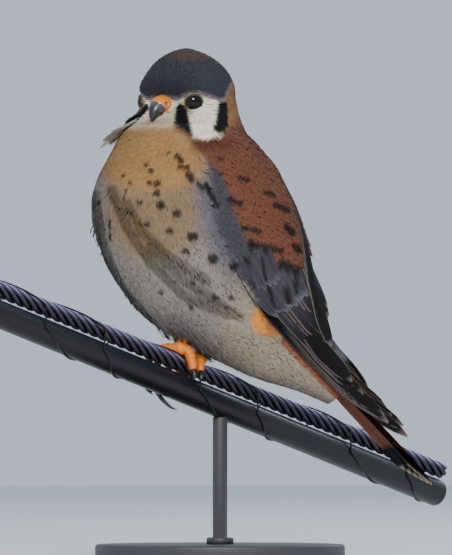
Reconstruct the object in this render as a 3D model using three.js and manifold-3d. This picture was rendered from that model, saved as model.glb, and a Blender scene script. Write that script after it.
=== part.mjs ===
// A male American kestrel at life size, perched on a cut length of lashed aerial cable.
// Millimetres, Z up. The bird heads toward -X and its left side is toward -Y.
// The origin is the middle of the underside of the stand's base.
import * as THREE from 'three';
import { mergeVertices } from 'three/addons/utils/BufferGeometryUtils.js';
import Module from 'manifold-3d';

const wasm = await Module();
wasm.setup();

const GAP = 0.3;
// Points nearer than this are one, and facets flatter than the sliver are merged after the unions.
const WELD = 1e-4;
const SLIVER = 0.05;
const THINNEST = 0.08;
const DEGREE = Math.PI / 180;

// The bird is drawn with its own middle plane at y = 0, and everything moves by this at the end.
const BIRD_SHIFT = new THREE.Vector3(-3.1, -14.75, 0);

// Perch: a stranded wire above a smooth cable, both running down to the right and away.
const WIRE_HEADING = 36 * DEGREE;
const WIRE_FALL = 15.6 * DEGREE;
const WIRE_MIDDLE = new THREE.Vector3(3.1, 14.75, 88.8);
const WIRE_LENGTH = 334;
const STRAND_RADIUS = 3.95;
const STRAND_GROOVE = 1.0;
const STRAND_WIRES = 6;
const STRAND_LAY = 40;
const STRAND_STEPS = 50;
// Corners of the strand for each of its wires: one sits in the groove and the rest round over.
const WIRE_CORNERS = 3;
const CABLE_RADIUS = 6.5;
const CABLE_DROP = 11.3;
const CABLE_SIDES = 24;

// Stand: a flat round base and one rod up to the cable.
const BASE_RADIUS = 60;
const BASE_HEIGHT = 10;
const BASE_BEVEL = 1.5;
const BASE_FOOT = 0.8;
const BASE_SIDES = 40;
const ROD_RADIUS = 3.5;
const ROD_SIDES = 32;

// Head, measured from the middle of the skull. It is turned to the bird's left.
const HEAD_MIDDLE = new THREE.Vector3(-17.1, 0, 226);
const HEAD_TURN = 38 * DEGREE;
const CROWN_RISE = 21.8;
const CROWN_PEAK = 1.18;
const EYE_PLACE = { forward: 13.3, aside: 16.7, up: -4.7 };
const EYE_LOOK = { forward: 0.71, aside: 0.68, up: -0.19 };
const EYE_RADIUS = 5.2;
const EYE_DEPTH = 4.1;
const LID_OPENING = 3.8;
const LID_THICK = 0.7;
// How much the opening between the lids narrows inward.
const LID_TAPER = 0.9;

// Body sections from the eyes down to the root of the tail. Each one leans with the spine.
const STATIONS = [
  { name: 'eyes', x: -17.1, z: 226, lean: 0, front: 19.4, back: 26.0, half: 22.8, turn: 38 },
  { name: 'cheeks', x: -17.0, z: 217, lean: 0, front: 21.0, back: 27.2, half: 25.0, turn: 37 },
  { name: 'throat', x: -17.6, z: 208.8, lean: 3, front: 31.0, back: 28.6, half: 28.5, turn: 26 },
  { name: 'neck', x: -17.7, z: 201, lean: 7, front: 37.2, back: 32.0, half: 31.0, turn: 16 },
  { name: 'shoulders', x: -17.0, z: 192.5, lean: 12, front: 44.6, back: 36.6, half: 34.5, turn: 6 },
  { name: 'breast', x: -14.7, z: 181.9, lean: 18, front: 50.2, back: 41.0, half: 36.4, turn: 1 },
  { name: 'chest', x: -10.8, z: 169.4, lean: 24, front: 51.0, back: 44.0, half: 36.8, turn: 0 },
  { name: 'trunk', x: -6.9, z: 157, lean: 30, front: 48.4, back: 44.0, half: 36.2, turn: 0 },
  { name: 'belly', x: -2.9, z: 144.5, lean: 36, front: 42.6, back: 42.0, half: 34.2, turn: 0 },
  { name: 'thighs', x: 3.9, z: 131, lean: 42, front: 35.6, back: 37.0, half: 29.6, turn: 0 },
  { name: 'vent', x: 13.7, z: 117.6, lean: 47, front: 25.6, back: 32.0, half: 23.0, turn: 0 },
  { name: 'rump', x: 27.5, z: 105.1, lean: 51, front: 18.8, back: 24.0, half: 16.5, turn: 0 },
  { name: 'coverts', x: 42.2, z: 94.0, lean: 50, front: 12.4, back: 14.5, half: 12.0, turn: 0 },
  { name: 'tail root', x: 56.9, z: 81.6, lean: 47, front: 5.6, back: 7.2, half: 8.6, turn: 0 },
];
const CROWN_RINGS = [0.08, 0.26, 0.44, 0.62, 0.81];
const HEAD_CUT = 3.35;
const NECK_CUT = 4.85;
// Share of the step between two sections that leaves a gap, and the gap that cuts others clear.
const CUT_SHARE = 0.036;
const CLEAR = GAP + 0.05;
const BODY_SIDES = 32;
// A grown stretch of the body starts this share of a section higher.
const GROWN_START = 0.1;
const HEAD_STEPS = 8;
const NECK_STEPS = 5;
const TORSO_STEPS = 20;

// Soft swellings of the face: place from the skull's middle, reach and rise.
const FACE_SWELLINGS = [
  { name: 'brow', forward: 13, aside: 14, up: 3.0, reach: 5, rise: 1.2 },
  { name: 'lores', forward: 17, aside: 8.5, up: -4, reach: 4.5, rise: -1.2 },
  { name: 'cheek', forward: 8, aside: 18, up: -12, reach: 8, rise: 1.4 },
  { name: 'base of the bill', forward: 20, aside: 0, up: -6, reach: 7, rise: -2.8 },
  { name: 'socket', forward: 14, aside: 17.4, up: -4.9, reach: 5.5, rise: -1.0 },
];

// Hollow of the belly over the feet, as a place of the bird, with its reach and rise.
const FEET_HOLLOW = { place: new THREE.Vector3(-18, -6, 106), reach: 13, rise: -3.6 };

// Wings: a line from the bend of the wing to its tip, with a sleeve round the flank about it.
const WING_START = new THREE.Vector3(-24, 0, 196);
const LEFT_TIP = new THREE.Vector3(80, 0, 63);
const RIGHT_TIP = new THREE.Vector3(95, 0, 57.5);
const SLEEVE = [
  { along: 0.0, half: 36.5, deep: 34 },
  { along: 0.15, half: 39.0, deep: 38 },
  { along: 0.3, half: 39.0, deep: 34 },
  { along: 0.45, half: 36.6, deep: 27 },
  { along: 0.6, half: 31.5, deep: 18.5 },
  { along: 0.75, half: 23.5, deep: 13 },
  { along: 0.9, half: 15.5, deep: 12 },
  { along: 1.0, half: 11.0, deep: 10 },
];

// Feather tiers of a wing, from the inmost out. Places are shares along the wing and degrees
// round the sleeve; widths and heights over the sleeve are in millimetres.
const WING_TIERS = [
  { name: 'primaries', count: 6, rootAlong: [0.4, 0.46], rootAngle: [-36, -14], tipAlong: [0.97, 0.8],
    tipAngle: [0, 8], width: [8, 9], rise: [-1.2, 0.2], point: 0.34, steps: 5, swing: 2.6 },
  { name: 'secondaries', count: 5, rootAlong: [0.36, 0.28], rootAngle: [-20, 28], tipAlong: [0.74, 0.62],
    tipAngle: [-10, 30], width: [9, 11], rise: [-0.2, 1.5], point: 0.24, steps: 4 },
  { name: 'greater coverts', count: 6, rootAlong: [0.36, 0.26], rootAngle: [-27, 18], tipAlong: [0.58, 0.5],
    tipAngle: [-33, 24], width: [7.5, 8], rise: [0.4, 2.4], point: 0.36, steps: 3 },
  { name: 'median coverts', count: 5, rootAlong: [0.26, 0.16], rootAngle: [-15, 16], tipAlong: [0.47, 0.38],
    tipAngle: [-26, 17], width: [8, 8.5], rise: [1.2, 3.1], point: 0.4, steps: 3 },
  { name: 'lesser coverts', count: 4, rootAlong: [0.15, 0.09], rootAngle: [-2, 16], tipAlong: [0.34, 0.27],
    tipAngle: [-14, 12], width: [9, 9], rise: [1.4, 3.6], point: 0.4, steps: 3 },
  { name: 'scapulars', count: 4, rootAlong: [0.09, 0.12], rootAngle: [26, 52], tipAlong: [0.4, 0.46],
    tipAngle: [24, 50], width: [10, 11], rise: [0.6, 1.8], point: 0.36, steps: 3 },
];
const WING_VANE_THICK = 0.9;
const WING_VANE_TILT = 1.3;
// Each vane of a tier lies this much higher than the one before, and reaches its height early.
const VANE_LIFT = 0.08;
const VANE_CLIMB = 1.6;
// By how much chance moves a vane's tip, as a share along the wing, and its width.
const TIP_SPREAD = 0.012;
const WIDTH_SPREAD = 0.08;
// Shape of a vane: its width at the root, how fast it widens, how closed its tip is, how its rings
// crowd to the tip, how thin it grows there, and its ridge over and under the middle.
const VANE_ROOT = 0.55;
const VANE_GROWTH = 1.1;
const VANE_END = 0.02;
const VANE_CROWD = 1.35;
const VANE_THIN = 0.55;
const RIDGE_OVER = 0.62;
const RIDGE_UNDER = 0.38;

// Flesh of a wing: its stretch along the sleeve, and its two edges as degrees that change from
// one value to the other over a stretch of it. Skins are heights at its root and at its end.
const CORE = {
  from: 0.08,
  to: 0.58,
  end: 0.62,
  low: { degrees: [6, -32], start: 0.1, run: 0.35 },
  high: { degrees: [50, 22], start: 0.15, run: 0.45 },
  over: [2.8, 0.2],
  under: [5, 1.4],
  least: 0.3,
  steps: 4,
};

// Tail: a closed fan from its root inside the coverts to its square tip.
const TAIL_ROOT = new THREE.Vector3(50, 0, 92.5);
const TAIL_TIP = new THREE.Vector3(104, 0, 38.6);
const TAIL_ROLL = 8 * DEGREE;
const TAIL_PAIRS = 6;
const TAIL_STEP = 1.0;
const TAIL_LAYER = 0.72;
const TAIL_THICK = 0.9;
const TAIL_BOW = 1.8;
const TAIL_VANE = 8.6;
const TAIL_POINT = 0.12;
const TAIL_STEPS = 4;
const TAIL_DROOP = 0.012;
// Each pair is shorter than the one over it by a share that grows with its number.
const TAIL_SHORT = 0.022;
const TAIL_SHORT_POWER = 1.3;
const TAIL_SIDE_LAYER = 0.3;
// Flesh of the tail: shares along it, half widths and heights at its two ends, and its depth.
const TAIL_CORE = { shares: [0, 0.12, 0.24], half: [7.5, 5.5], tall: [3.8, 2.4], depth: 2.4, sides: 10 };

function clamp(value, low, high) {
  return Math.min(high, Math.max(low, value));
}

function mix(a, b, share) {
  return a + (b - a) * share;
}

// Smooth value through a list of evenly placed numbers.
function through(values, place) {
  const last = values.length - 1;
  const index = clamp(Math.floor(place), 0, last - 1);
  const t = clamp(place - index, 0, 1);
  const p1 = values[index];
  const p2 = values[index + 1];
  const p0 = index > 0 ? values[index - 1] : 2 * p1 - p2;
  const p3 = index + 2 <= last ? values[index + 2] : 2 * p2 - p1;
  const bend = 2 * p0 - 5 * p1 + 4 * p2 - p3;
  return 0.5 * (2 * p1 + (p2 - p0) * t + bend * t * t + (3 * p1 - p0 - 3 * p2 + p3) * t * t * t);
}

// Closed mesh from rings of equal length. Each end is a fan to its middle, or, where the rings are
// folded bands, a strip from one half of the ring to the other.
function ringsToGeometry(rings, folded = false) {
  const around = rings[0].length;
  const positions = [];
  for (const ring of rings) {
    for (const point of ring) positions.push(point.x, point.y, point.z);
  }
  const ends = [rings[0], rings[rings.length - 1]];
  for (const ring of ends) {
    const middle = new THREE.Vector3();
    for (const point of ring) middle.addScaledVector(point, 1 / around);
    positions.push(middle.x, middle.y, middle.z);
  }
  const index = [];
  for (let i = 0; i + 1 < rings.length; i += 1) {
    for (let j = 0; j < around; j += 1) {
      const k = (j + 1) % around;
      const a = i * around + j;
      const b = i * around + k;
      const c = (i + 1) * around + j;
      const d = (i + 1) * around + k;
      index.push(a, c, b, b, c, d);
    }
  }
  const first = rings.length * around;
  const lastRing = (rings.length - 1) * around;
  for (let j = 0; folded && j + 1 < around / 2; j += 1) {
    const k = around - 1 - j;
    index.push(j, j + 1, k - 1, j, k - 1, k);
    index.push(lastRing + k - 1, lastRing + j + 1, lastRing + j);
    index.push(lastRing + k, lastRing + k - 1, lastRing + j);
  }
  for (let j = 0; !folded && j < around; j += 1) {
    const k = (j + 1) % around;
    index.push(first, j, k);
    index.push(first + 1, lastRing + k, lastRing + j);
  }
  const geometry = new THREE.BufferGeometry();
  geometry.setAttribute('position', new THREE.Float32BufferAttribute(positions, 3));
  geometry.setIndex(index);
  return facingOut(geometry);
}

function signedVolume(geometry) {
  const position = geometry.attributes.position;
  const index = geometry.index.array;
  const a = new THREE.Vector3();
  const b = new THREE.Vector3();
  const c = new THREE.Vector3();
  let total = 0;
  for (let i = 0; i < index.length; i += 3) {
    a.fromBufferAttribute(position, index[i]);
    b.fromBufferAttribute(position, index[i + 1]);
    c.fromBufferAttribute(position, index[i + 2]);
    total += a.dot(b.cross(c)) / 6;
  }
  return total;
}

function facingOut(geometry) {
  if (signedVolume(geometry) < 0) {
    const index = geometry.index.array;
    for (let i = 0; i < index.length; i += 3) {
      const held = index[i + 1];
      index[i + 1] = index[i + 2];
      index[i + 2] = held;
    }
  }
  return geometry;
}

function toSolid(geometry) {
  const plain = geometry.clone();
  plain.deleteAttribute('normal');
  plain.deleteAttribute('uv');
  const merged = facingOut(mergeVertices(plain, WELD));
  const mesh = new wasm.Mesh({
    numProp: 3,
    vertProperties: new Float32Array(merged.attributes.position.array),
    triVerts: new Uint32Array(merged.index.array),
  });
  return new wasm.Manifold(mesh);
}

// The largest closed surface of a solid, as a geometry. Pockets shut in between vanes are filled.
function toGeometry(solid) {
  const mesh = solid.simplify(SLIVER).getMesh();
  const stride = mesh.numProp;
  const count = mesh.vertProperties.length / stride;
  const positions = [];
  for (let i = 0; i < count; i += 1) {
    for (let k = 0; k < 3; k += 1) positions.push(mesh.vertProperties[i * stride + k]);
  }
  const geometry = new THREE.BufferGeometry();
  geometry.setAttribute('position', new THREE.Float32BufferAttribute(positions, 3));
  geometry.setIndex(largestSurface(mesh.triVerts, count));
  return geometry;
}

// Triangles of the largest joined surface, out of a list of corner numbers.
function largestSurface(index, corners) {
  const parent = Array.from({ length: corners }, (_, i) => i);
  const find = (i) => {
    while (parent[i] !== i) {
      parent[i] = parent[parent[i]];
      i = parent[i];
    }
    return i;
  };
  for (let i = 0; i < index.length; i += 3) {
    parent[find(index[i + 1])] = find(index[i]);
    parent[find(index[i + 2])] = find(index[i]);
  }
  const groups = new Map();
  for (let i = 0; i < index.length; i += 3) {
    const key = find(index[i]);
    if (!groups.has(key)) groups.set(key, []);
    groups.get(key).push(index[i], index[i + 1], index[i + 2]);
  }
  return [...groups.values()].reduce((a, b) => (a.length >= b.length ? a : b));
}

// Round tube along a smooth line, with a radius at each given point.
function sweep(points, radii, steps, sides) {
  const curve = new THREE.CatmullRomCurve3(points, false, 'centripetal');
  const rings = [];
  let normal = null;
  for (let i = 0; i <= steps; i += 1) {
    const place = i / steps;
    const middle = curve.getPoint(place);
    const tangent = curve.getTangent(place).normalize();
    if (normal === null) {
      const other = Math.abs(tangent.z) < 0.9 ? new THREE.Vector3(0, 0, 1) : new THREE.Vector3(1, 0, 0);
      normal = other.cross(tangent).normalize();
    } else {
      normal.addScaledVector(tangent, -normal.dot(tangent)).normalize();
    }
    const binormal = tangent.clone().cross(normal);
    const radius = Math.max(through(radii, place * (radii.length - 1)), THINNEST);
    const ring = [];
    for (let j = 0; j < sides; j += 1) {
      const angle = (j / sides) * 2 * Math.PI;
      const point = middle.clone();
      point.addScaledVector(normal, radius * Math.cos(angle));
      point.addScaledVector(binormal, radius * Math.sin(angle));
      ring.push(point);
    }
    rings.push(ring);
  }
  return ringsToGeometry(rings);
}

// Head coordinates (forward, aside to the bird's left, up) as a point of the bird.
function headPoint(forward, aside, up) {
  const ahead = new THREE.Vector3(-Math.cos(HEAD_TURN), -Math.sin(HEAD_TURN), 0);
  const left = new THREE.Vector3(Math.sin(HEAD_TURN), -Math.cos(HEAD_TURN), 0);
  const point = HEAD_MIDDLE.clone();
  return point.addScaledVector(ahead, forward).addScaledVector(left, aside).add(new THREE.Vector3(0, 0, up));
}

function station(key, place) {
  return through(STATIONS.map((entry) => entry[key]), place);
}

// Ring of the body at a place: 0 is the crown, 1 the eyes, then one for each section.
function bodyRing(place, grow) {
  const dome = clamp(place, 0, 1) * 90 * DEGREE;
  const low = Math.max(place - 1, 0);
  const lean = station('lean', low) * DEGREE;
  const turn = station('turn', low) * DEGREE;
  const size = Math.sin(dome) ** CROWN_PEAK;
  const rise = CROWN_RISE * Math.cos(dome);
  const middle = new THREE.Vector3(station('x', low), 0, station('z', low) + rise);
  if (place < 1) middle.z += grow * Math.cos(dome);
  const ahead = new THREE.Vector3(-Math.cos(lean) * Math.cos(turn), -Math.sin(turn), -Math.sin(lean));
  ahead.normalize();
  const spine = new THREE.Vector3(Math.sin(lean), 0, -Math.cos(lean));
  spine.addScaledVector(ahead, -spine.dot(ahead)).normalize();
  const aside = spine.clone().cross(ahead).normalize();
  const ring = [];
  for (let j = 0; j < BODY_SIDES; j += 1) {
    const angle = (j / BODY_SIDES) * 2 * Math.PI;
    const deep = Math.cos(angle) > 0 ? station('front', low) : station('back', low);
    const point = middle.clone();
    const swell = swelling(point.clone()
      .addScaledVector(ahead, deep * size * Math.cos(angle))
      .addScaledVector(aside, station('half', low) * size * Math.sin(angle)));
    point.addScaledVector(ahead, (deep + swell + grow) * size * Math.cos(angle));
    point.addScaledVector(aside, (station('half', low) + swell + grow) * size * Math.sin(angle));
    ring.push(point);
  }
  return ring;
}

function swelling(point) {
  let total = 0;
  for (const bump of FACE_SWELLINGS) {
    for (const side of bump.aside === 0 ? [1] : [-1, 1]) {
      const distance = point.distanceTo(headPoint(bump.forward, side * bump.aside, bump.up));
      total += bump.rise * Math.exp(-((distance / bump.reach) ** 2));
    }
  }
  const far = point.distanceTo(FEET_HOLLOW.place) / FEET_HOLLOW.reach;
  return total + FEET_HOLLOW.rise * Math.exp(-(far ** 2));
}

// Stretch of the body between two places. A grown one is wider and longer, to cut others clear.
function bodyLoft(from, to, count, grow = 0) {
  const rings = [];
  if (from < 1) {
    for (const place of CROWN_RINGS) rings.push(bodyRing(place, grow));
    from = 1;
  }
  for (let i = 0; i <= count; i += 1) {
    rings.push(bodyRing(mix(from, to, i / count), grow));
  }
  if (grow > 0) {
    const lean = station('lean', to - 1) * DEGREE;
    const onward = new THREE.Vector3(Math.sin(lean), 0, -Math.cos(lean)).multiplyScalar(grow);
    rings.unshift(bodyRing(from - GROWN_START, grow));
    rings.push(rings[rings.length - 1].map((point) => point.clone().add(onward)));
  }
  return ringsToGeometry(rings);
}

function sleeve(key, along) {
  const places = SLEEVE.map((entry) => entry.along);
  let low = 0;
  while (low + 2 < places.length && along > places[low + 1]) low += 1;
  const index = low + (along - places[low]) / (places[low + 1] - places[low]);
  return through(SLEEVE.map((entry) => entry[key]), index);
}

function wingSize(along) {
  return 0.5 * (sleeve('half', along) + sleeve('deep', along));
}

// Point of a wing's sleeve: share along, angle round from the flank to the back, height over it.
function wingPoint(side, along, angle, height) {
  const tip = side < 0 ? LEFT_TIP : RIGHT_TIP;
  const line = tip.clone().sub(WING_START);
  const ahead = line.clone().normalize();
  const upward = new THREE.Vector3(-ahead.z, 0, ahead.x);
  const half = sleeve('half', along) + height;
  const deep = sleeve('deep', along) + height;
  const point = WING_START.clone().addScaledVector(line, along);
  point.addScaledVector(upward, deep * Math.sin(angle * DEGREE));
  point.y += side * half * Math.cos(angle * DEGREE);
  return point;
}

// Closed slab over the sleeve between two edges, for a wing with no feathers apart.
function wingSlab(side, from, to, lowEdge, highEdge, inner, outer, steps, across) {
  const rings = [];
  for (let i = 0; i <= steps; i += 1) {
    const along = mix(from, to, i / steps);
    const ring = [];
    for (let j = 0; j <= across; j += 1) {
      const angle = mix(lowEdge(along), highEdge(along), j / across);
      ring.push(wingPoint(side, along, angle, outer(along, j / across)));
    }
    for (let j = across; j >= 0; j -= 1) {
      const angle = mix(lowEdge(along), highEdge(along), j / across);
      ring.push(wingPoint(side, along, angle, inner(along, j / across)));
    }
    rings.push(ring);
  }
  return ringsToGeometry(rings, true);
}

// The flesh of a folded wing, which its feathers grow from.
function wingCore(side) {
  const edge = ({ degrees, start, run }) => (s) => mix(...degrees, clamp((s - start) / run, 0, 1));
  const arch = (w) => Math.sin(Math.PI * clamp(w, 0.03, 0.97));
  const outer = (s, w) => mix(...CORE.over, s / CORE.end) * arch(w);
  const inner = (s, w) => -CORE.least - mix(...CORE.under, s / CORE.end) * arch(w);
  const { from, to, low, high, steps } = CORE;
  return wingSlab(side, from, to, edge(low), edge(high), inner, outer, steps, steps);
}

// Width of a vane along its length: narrow at the root, broad, then rounded off at the tip.
function vaneWidth(share, point) {
  const swell = Math.min(1, VANE_ROOT + VANE_GROWTH * share);
  const end = Math.max(0, (share - (1 - point)) / point);
  return swell * Math.sqrt(Math.max(VANE_END, 1 - end * end));
}

// Closed vane with a ridge down its middle on both faces and thin edges.
function vane(place, steps, point, thick, width) {
  const rings = [];
  for (let i = 0; i <= steps; i += 1) {
    const share = 1 - (1 - i / steps) ** VANE_CROWD;
    const half = 0.5 * width * vaneWidth(share, point);
    const body = thick * mix(1, VANE_THIN, share);
    rings.push([
      place(share, -half, WING_VANE_TILT * 0.5),
      place(share, 0, RIDGE_OVER * body),
      place(share, half, -WING_VANE_TILT * 0.5),
      place(share, 0, -RIDGE_UNDER * body),
    ]);
  }
  return ringsToGeometry(rings);
}

// Repeatable chance between -0.5 and 0.5, as a running product kept within a span.
const CHANCE_FACTOR = 16807;
const CHANCE_SPAN = 2147483647;
let chanceNow = 7;
function chance() {
  chanceNow = (chanceNow * CHANCE_FACTOR) % CHANCE_SPAN;
  return chanceNow / CHANCE_SPAN - 0.5;
}

function wingFeathers(side) {
  let solid = toSolid(wingCore(side));
  for (const tier of WING_TIERS) {
    for (let i = 0; i < tier.count; i += 1) {
      const share = i / (tier.count - 1);
      const root = [mix(...tier.rootAlong, share), mix(...tier.rootAngle, share)];
      const tipAlong = mix(...tier.tipAlong, share) + TIP_SPREAD * chance();
      const tip = [tipAlong, mix(...tier.tipAngle, share) + chance()];
      const width = mix(...tier.width, share) * (1 + WIDTH_SPREAD * chance());
      const lift = VANE_LIFT * i;
      const place = (s, across, height) => {
        const along = mix(root[0], tip[0], s);
        const angle = mix(root[1], tip[1], s ** (tier.swing ?? 1));
        const round = wingSize(along);
        const rise = mix(tier.rise[0], tier.rise[1], Math.min(1, VANE_CLIMB * s)) + lift + height;
        return wingPoint(side, along, angle + across / round / DEGREE, rise);
      };
      solid = solid.add(toSolid(vane(place, tier.steps, tier.point, WING_VANE_THICK, width)));
    }
  }
  return solid;
}

// Tail frame: along from root to tip, across to the bird's left, and over toward its back.
const TAIL_AHEAD = TAIL_TIP.clone().sub(TAIL_ROOT).normalize();
const TAIL_UP = new THREE.Vector3(-TAIL_AHEAD.z, 0, TAIL_AHEAD.x);
const TAIL_LEFT = new THREE.Vector3(0, -1, 0).multiplyScalar(Math.cos(TAIL_ROLL))
  .addScaledVector(TAIL_UP, Math.sin(TAIL_ROLL));
const TAIL_OVER = TAIL_UP.clone().multiplyScalar(Math.cos(TAIL_ROLL))
  .add(new THREE.Vector3(0, 1, 0).multiplyScalar(Math.sin(TAIL_ROLL)));

function tailPoint(share, across, over) {
  const point = TAIL_ROOT.clone().lerp(TAIL_TIP, share);
  const droop = over + TAIL_BOW * Math.sin(Math.PI * share) - TAIL_DROOP * across * across;
  return point.addScaledVector(TAIL_LEFT, across).addScaledVector(TAIL_OVER, droop);
}

function tailFeathers() {
  let solid = null;
  for (let pair = TAIL_PAIRS - 1; pair >= 0; pair -= 1) {
    for (const side of [-1, 1]) {
      const reach = 1 - TAIL_SHORT * pair ** TAIL_SHORT_POWER;
      const layer = TAIL_LAYER * (pair + TAIL_SIDE_LAYER * (side > 0));
      const aside = side * (0.5 + pair) * TAIL_STEP;
      const place = (share, across, height) => tailPoint(
        share * reach,
        aside * mix(0.5, 1, share) + across,
        height * side - layer * mix(0.5, 1, share),
      );
      const piece = toSolid(vane(place, TAIL_STEPS, TAIL_POINT, TAIL_THICK, TAIL_VANE));
      solid = solid === null ? piece : solid.add(piece);
    }
  }
  return solid;
}

function tailCore() {
  const rings = [];
  const last = TAIL_CORE.shares[TAIL_CORE.shares.length - 1];
  for (const share of TAIL_CORE.shares) {
    const half = mix(...TAIL_CORE.half, share / last);
    const tall = mix(...TAIL_CORE.tall, share / last);
    const ring = [];
    for (let j = 0; j < TAIL_CORE.sides; j += 1) {
      const angle = (j / TAIL_CORE.sides) * 2 * Math.PI;
      ring.push(tailPoint(share, half * Math.cos(angle), tall * Math.sin(angle) - TAIL_CORE.depth));
    }
    rings.push(ring);
  }
  return ringsToGeometry(rings);
}

// Perch coordinates: along the wire, across it to the far side, and height square to both.
const WIRE_AHEAD = new THREE.Vector3(
  Math.cos(WIRE_HEADING) * Math.cos(WIRE_FALL),
  Math.sin(WIRE_HEADING) * Math.cos(WIRE_FALL),
  -Math.sin(WIRE_FALL),
);
const WIRE_ACROSS = new THREE.Vector3(-Math.sin(WIRE_HEADING), Math.cos(WIRE_HEADING), 0);
const WIRE_OVER = WIRE_AHEAD.clone().cross(WIRE_ACROSS);

function wirePoint(along, across, over) {
  const point = WIRE_MIDDLE.clone();
  return point.addScaledVector(WIRE_AHEAD, along)
    .addScaledVector(WIRE_ACROSS, across).addScaledVector(WIRE_OVER, over);
}

function roundBar(radius, over, sides, steps, shape, twist) {
  const rings = [];
  for (let i = 0; i <= steps; i += 1) {
    const along = mix(-WIRE_LENGTH / 2, WIRE_LENGTH / 2, i / steps);
    const ring = [];
    for (let j = 0; j < sides; j += 1) {
      const angle = (j / sides) * 2 * Math.PI + twist * (along / STRAND_LAY) * 2 * Math.PI;
      const reach = radius - shape(j);
      ring.push(wirePoint(along, reach * Math.cos(angle), over + reach * Math.sin(angle)));
    }
    rings.push(ring);
  }
  return ringsToGeometry(rings);
}

function strand(grow = 0) {
  const groove = (j) => (j % WIRE_CORNERS === 0 ? STRAND_GROOVE : 0);
  return roundBar(STRAND_RADIUS + grow, 0, STRAND_WIRES * WIRE_CORNERS, STRAND_STEPS, groove, 1);
}

function cable(grow = 0) {
  return roundBar(CABLE_RADIUS + grow, -CABLE_DROP, CABLE_SIDES, 2, () => 0, 0);
}

const TOE_RADIUS = 1.85;
// Room between a toe and the wires, and the deepest that a toe's third joint hangs.
const TOE_ROOM = 0.15;
const JOINT_DEPTH = 8;
const TOE_STEPS = 6;
// The middles of a ball and a shank over the strand's own radius.
const BALL_RISE = 2.6;
const SHANK_RISE = 4.2;
const SHANK_RADII = [2.3, 2.2, 2.6];
const SHANK_LENGTH = 15.4;
const SHANK_LEAN = 0.23;
const TOE_RADII = [2.7, 2.2, 1.95, 1.8, 1.4];
const BALL_RADIUS = 3.9;
const CLAW_RADII = [1.3, 1.15, 0.8, 0.2];
const CLAW_ROOM = 1.1;
const CLAW_RINGS = [4, 6];
// Claws as steps on from the toe and in toward the wire, and their size on a hind toe.
const CLAW_STEPS = [[3.2, -0.5], [6.0, 0.3], [8.2, 2.0]];
const HIND_CLAW = 0.65;
// Claws round the cable: degrees down its side, out from it, and on along it.
const CLAW_CURL = [
  { angle: 18, out: 0, on: 1 },
  { angle: 42, out: 0, on: 2 },
  { angle: 66, out: 0, on: 3.3 },
];
const TALON_CURL = [
  { angle: 22, out: 0, on: 1 },
  { angle: 62, out: 0.4, on: 4 },
  { angle: 86, out: 2.4, on: 7.5 },
  { angle: 94, out: 2.9, on: 11 },
];

// Feet: where each stands along the wire, and how far its toes reach along it and down from its top.
// Front toes hang on the far side of the wire, the hind toe on the near side.
const FEET = [
  {
    name: 'left',
    along: -31,
    toes: [
      { name: 'outer', aside: -13, down: 12, front: 1, thick: 1, curl: CLAW_CURL },
      { name: 'middle', aside: -6.5, down: 18.5, front: 1, thick: 1, curl: TALON_CURL },
      { name: 'inner', aside: 1.5, down: 9.5, front: 1, thick: 1 },
      { name: 'hind', aside: 2.6, down: 3.4, front: -1, thick: 1.25 },
    ],
  },
  {
    name: 'right',
    along: -16.5,
    toes: [
      { name: 'inner', aside: -5.6, down: 8.5, front: 1, thick: 1 },
      { name: 'middle', aside: -0.8, down: 9.5, front: 1, thick: 1 },
      { name: 'outer', aside: 4.0, down: 9.5, front: 1, thick: 1 },
      { name: 'hind', aside: -6.0, down: 2.4, front: -1, thick: 1 },
    ],
  },
];

// Line of a toe over the wire: from the ball of the foot, over the top and down one side. The
// factors are shares of its reach along, across and over the wire at its joints.
function toeLine(foot, toe) {
  const radius = TOE_RADIUS * toe.thick;
  const over = STRAND_RADIUS + GAP + radius + TOE_ROOM;
  const wide = CABLE_RADIUS + GAP + radius + TOE_ROOM - 0.05;
  const side = toe.front * (toe.curl ? wide : mix(over, wide, 0.55));
  const aside = foot.along + toe.aside;
  const points = [];
  points.push(wirePoint(foot.along, 0, over + 0.6));
  points.push(wirePoint(foot.along + 0.55 * toe.aside, toe.front * over * 0.62, over * 0.86));
  points.push(wirePoint(foot.along + 0.9 * toe.aside, toe.front * over * 1.02, over * 0.1));
  points.push(wirePoint(aside, side, -Math.min(toe.down, JOINT_DEPTH) * 0.8));
  if (toe.curl) points.push(wirePoint(aside, side, -toe.down * 0.82));
  return points;
}

// Line of a claw: on from its toe, then in under the strand, or round the cable where it curls.
function clawLine(foot, toe) {
  const line = toeLine(foot, toe);
  const end = line[line.length - 1].clone();
  const before = line[line.length - 2];
  const way = end.clone().sub(before).normalize();
  const points = [end.clone().addScaledVector(way, GAP)];
  if (toe.curl) {
    for (const { angle, out, on } of toe.curl) {
      const reach = CABLE_RADIUS + GAP + CLAW_ROOM + out;
      const c = Math.cos(angle * DEGREE);
      const s = Math.sin(angle * DEGREE);
      points.push(wirePoint(foot.along + toe.aside + on, reach * c, -CABLE_DROP - reach * s));
    }
    return points;
  }
  const inward = WIRE_ACROSS.clone().multiplyScalar(-toe.front);
  const short = toe.front < 0 ? HIND_CLAW : 1;
  for (const [on, side] of CLAW_STEPS) {
    points.push(points[0].clone().addScaledVector(way, on * short).addScaledVector(inward, side * short));
  }
  return points;
}

function footSolid(foot) {
  let solid = null;
  for (const toe of foot.toes) {
    const radii = TOE_RADII.map((radius) => radius * toe.thick);
    const piece = toSolid(sweep(toeLine(foot, toe), radii, TOE_STEPS, TOE_STEPS));
    solid = solid === null ? piece : solid.add(piece);
  }
  const ball = new THREE.SphereGeometry(BALL_RADIUS, 9, 6);
  const middle = wirePoint(foot.along, 0, STRAND_RADIUS + GAP + BALL_RISE);
  ball.translate(middle.x, middle.y, middle.z);
  return solid.add(toSolid(ball));
}

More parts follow.
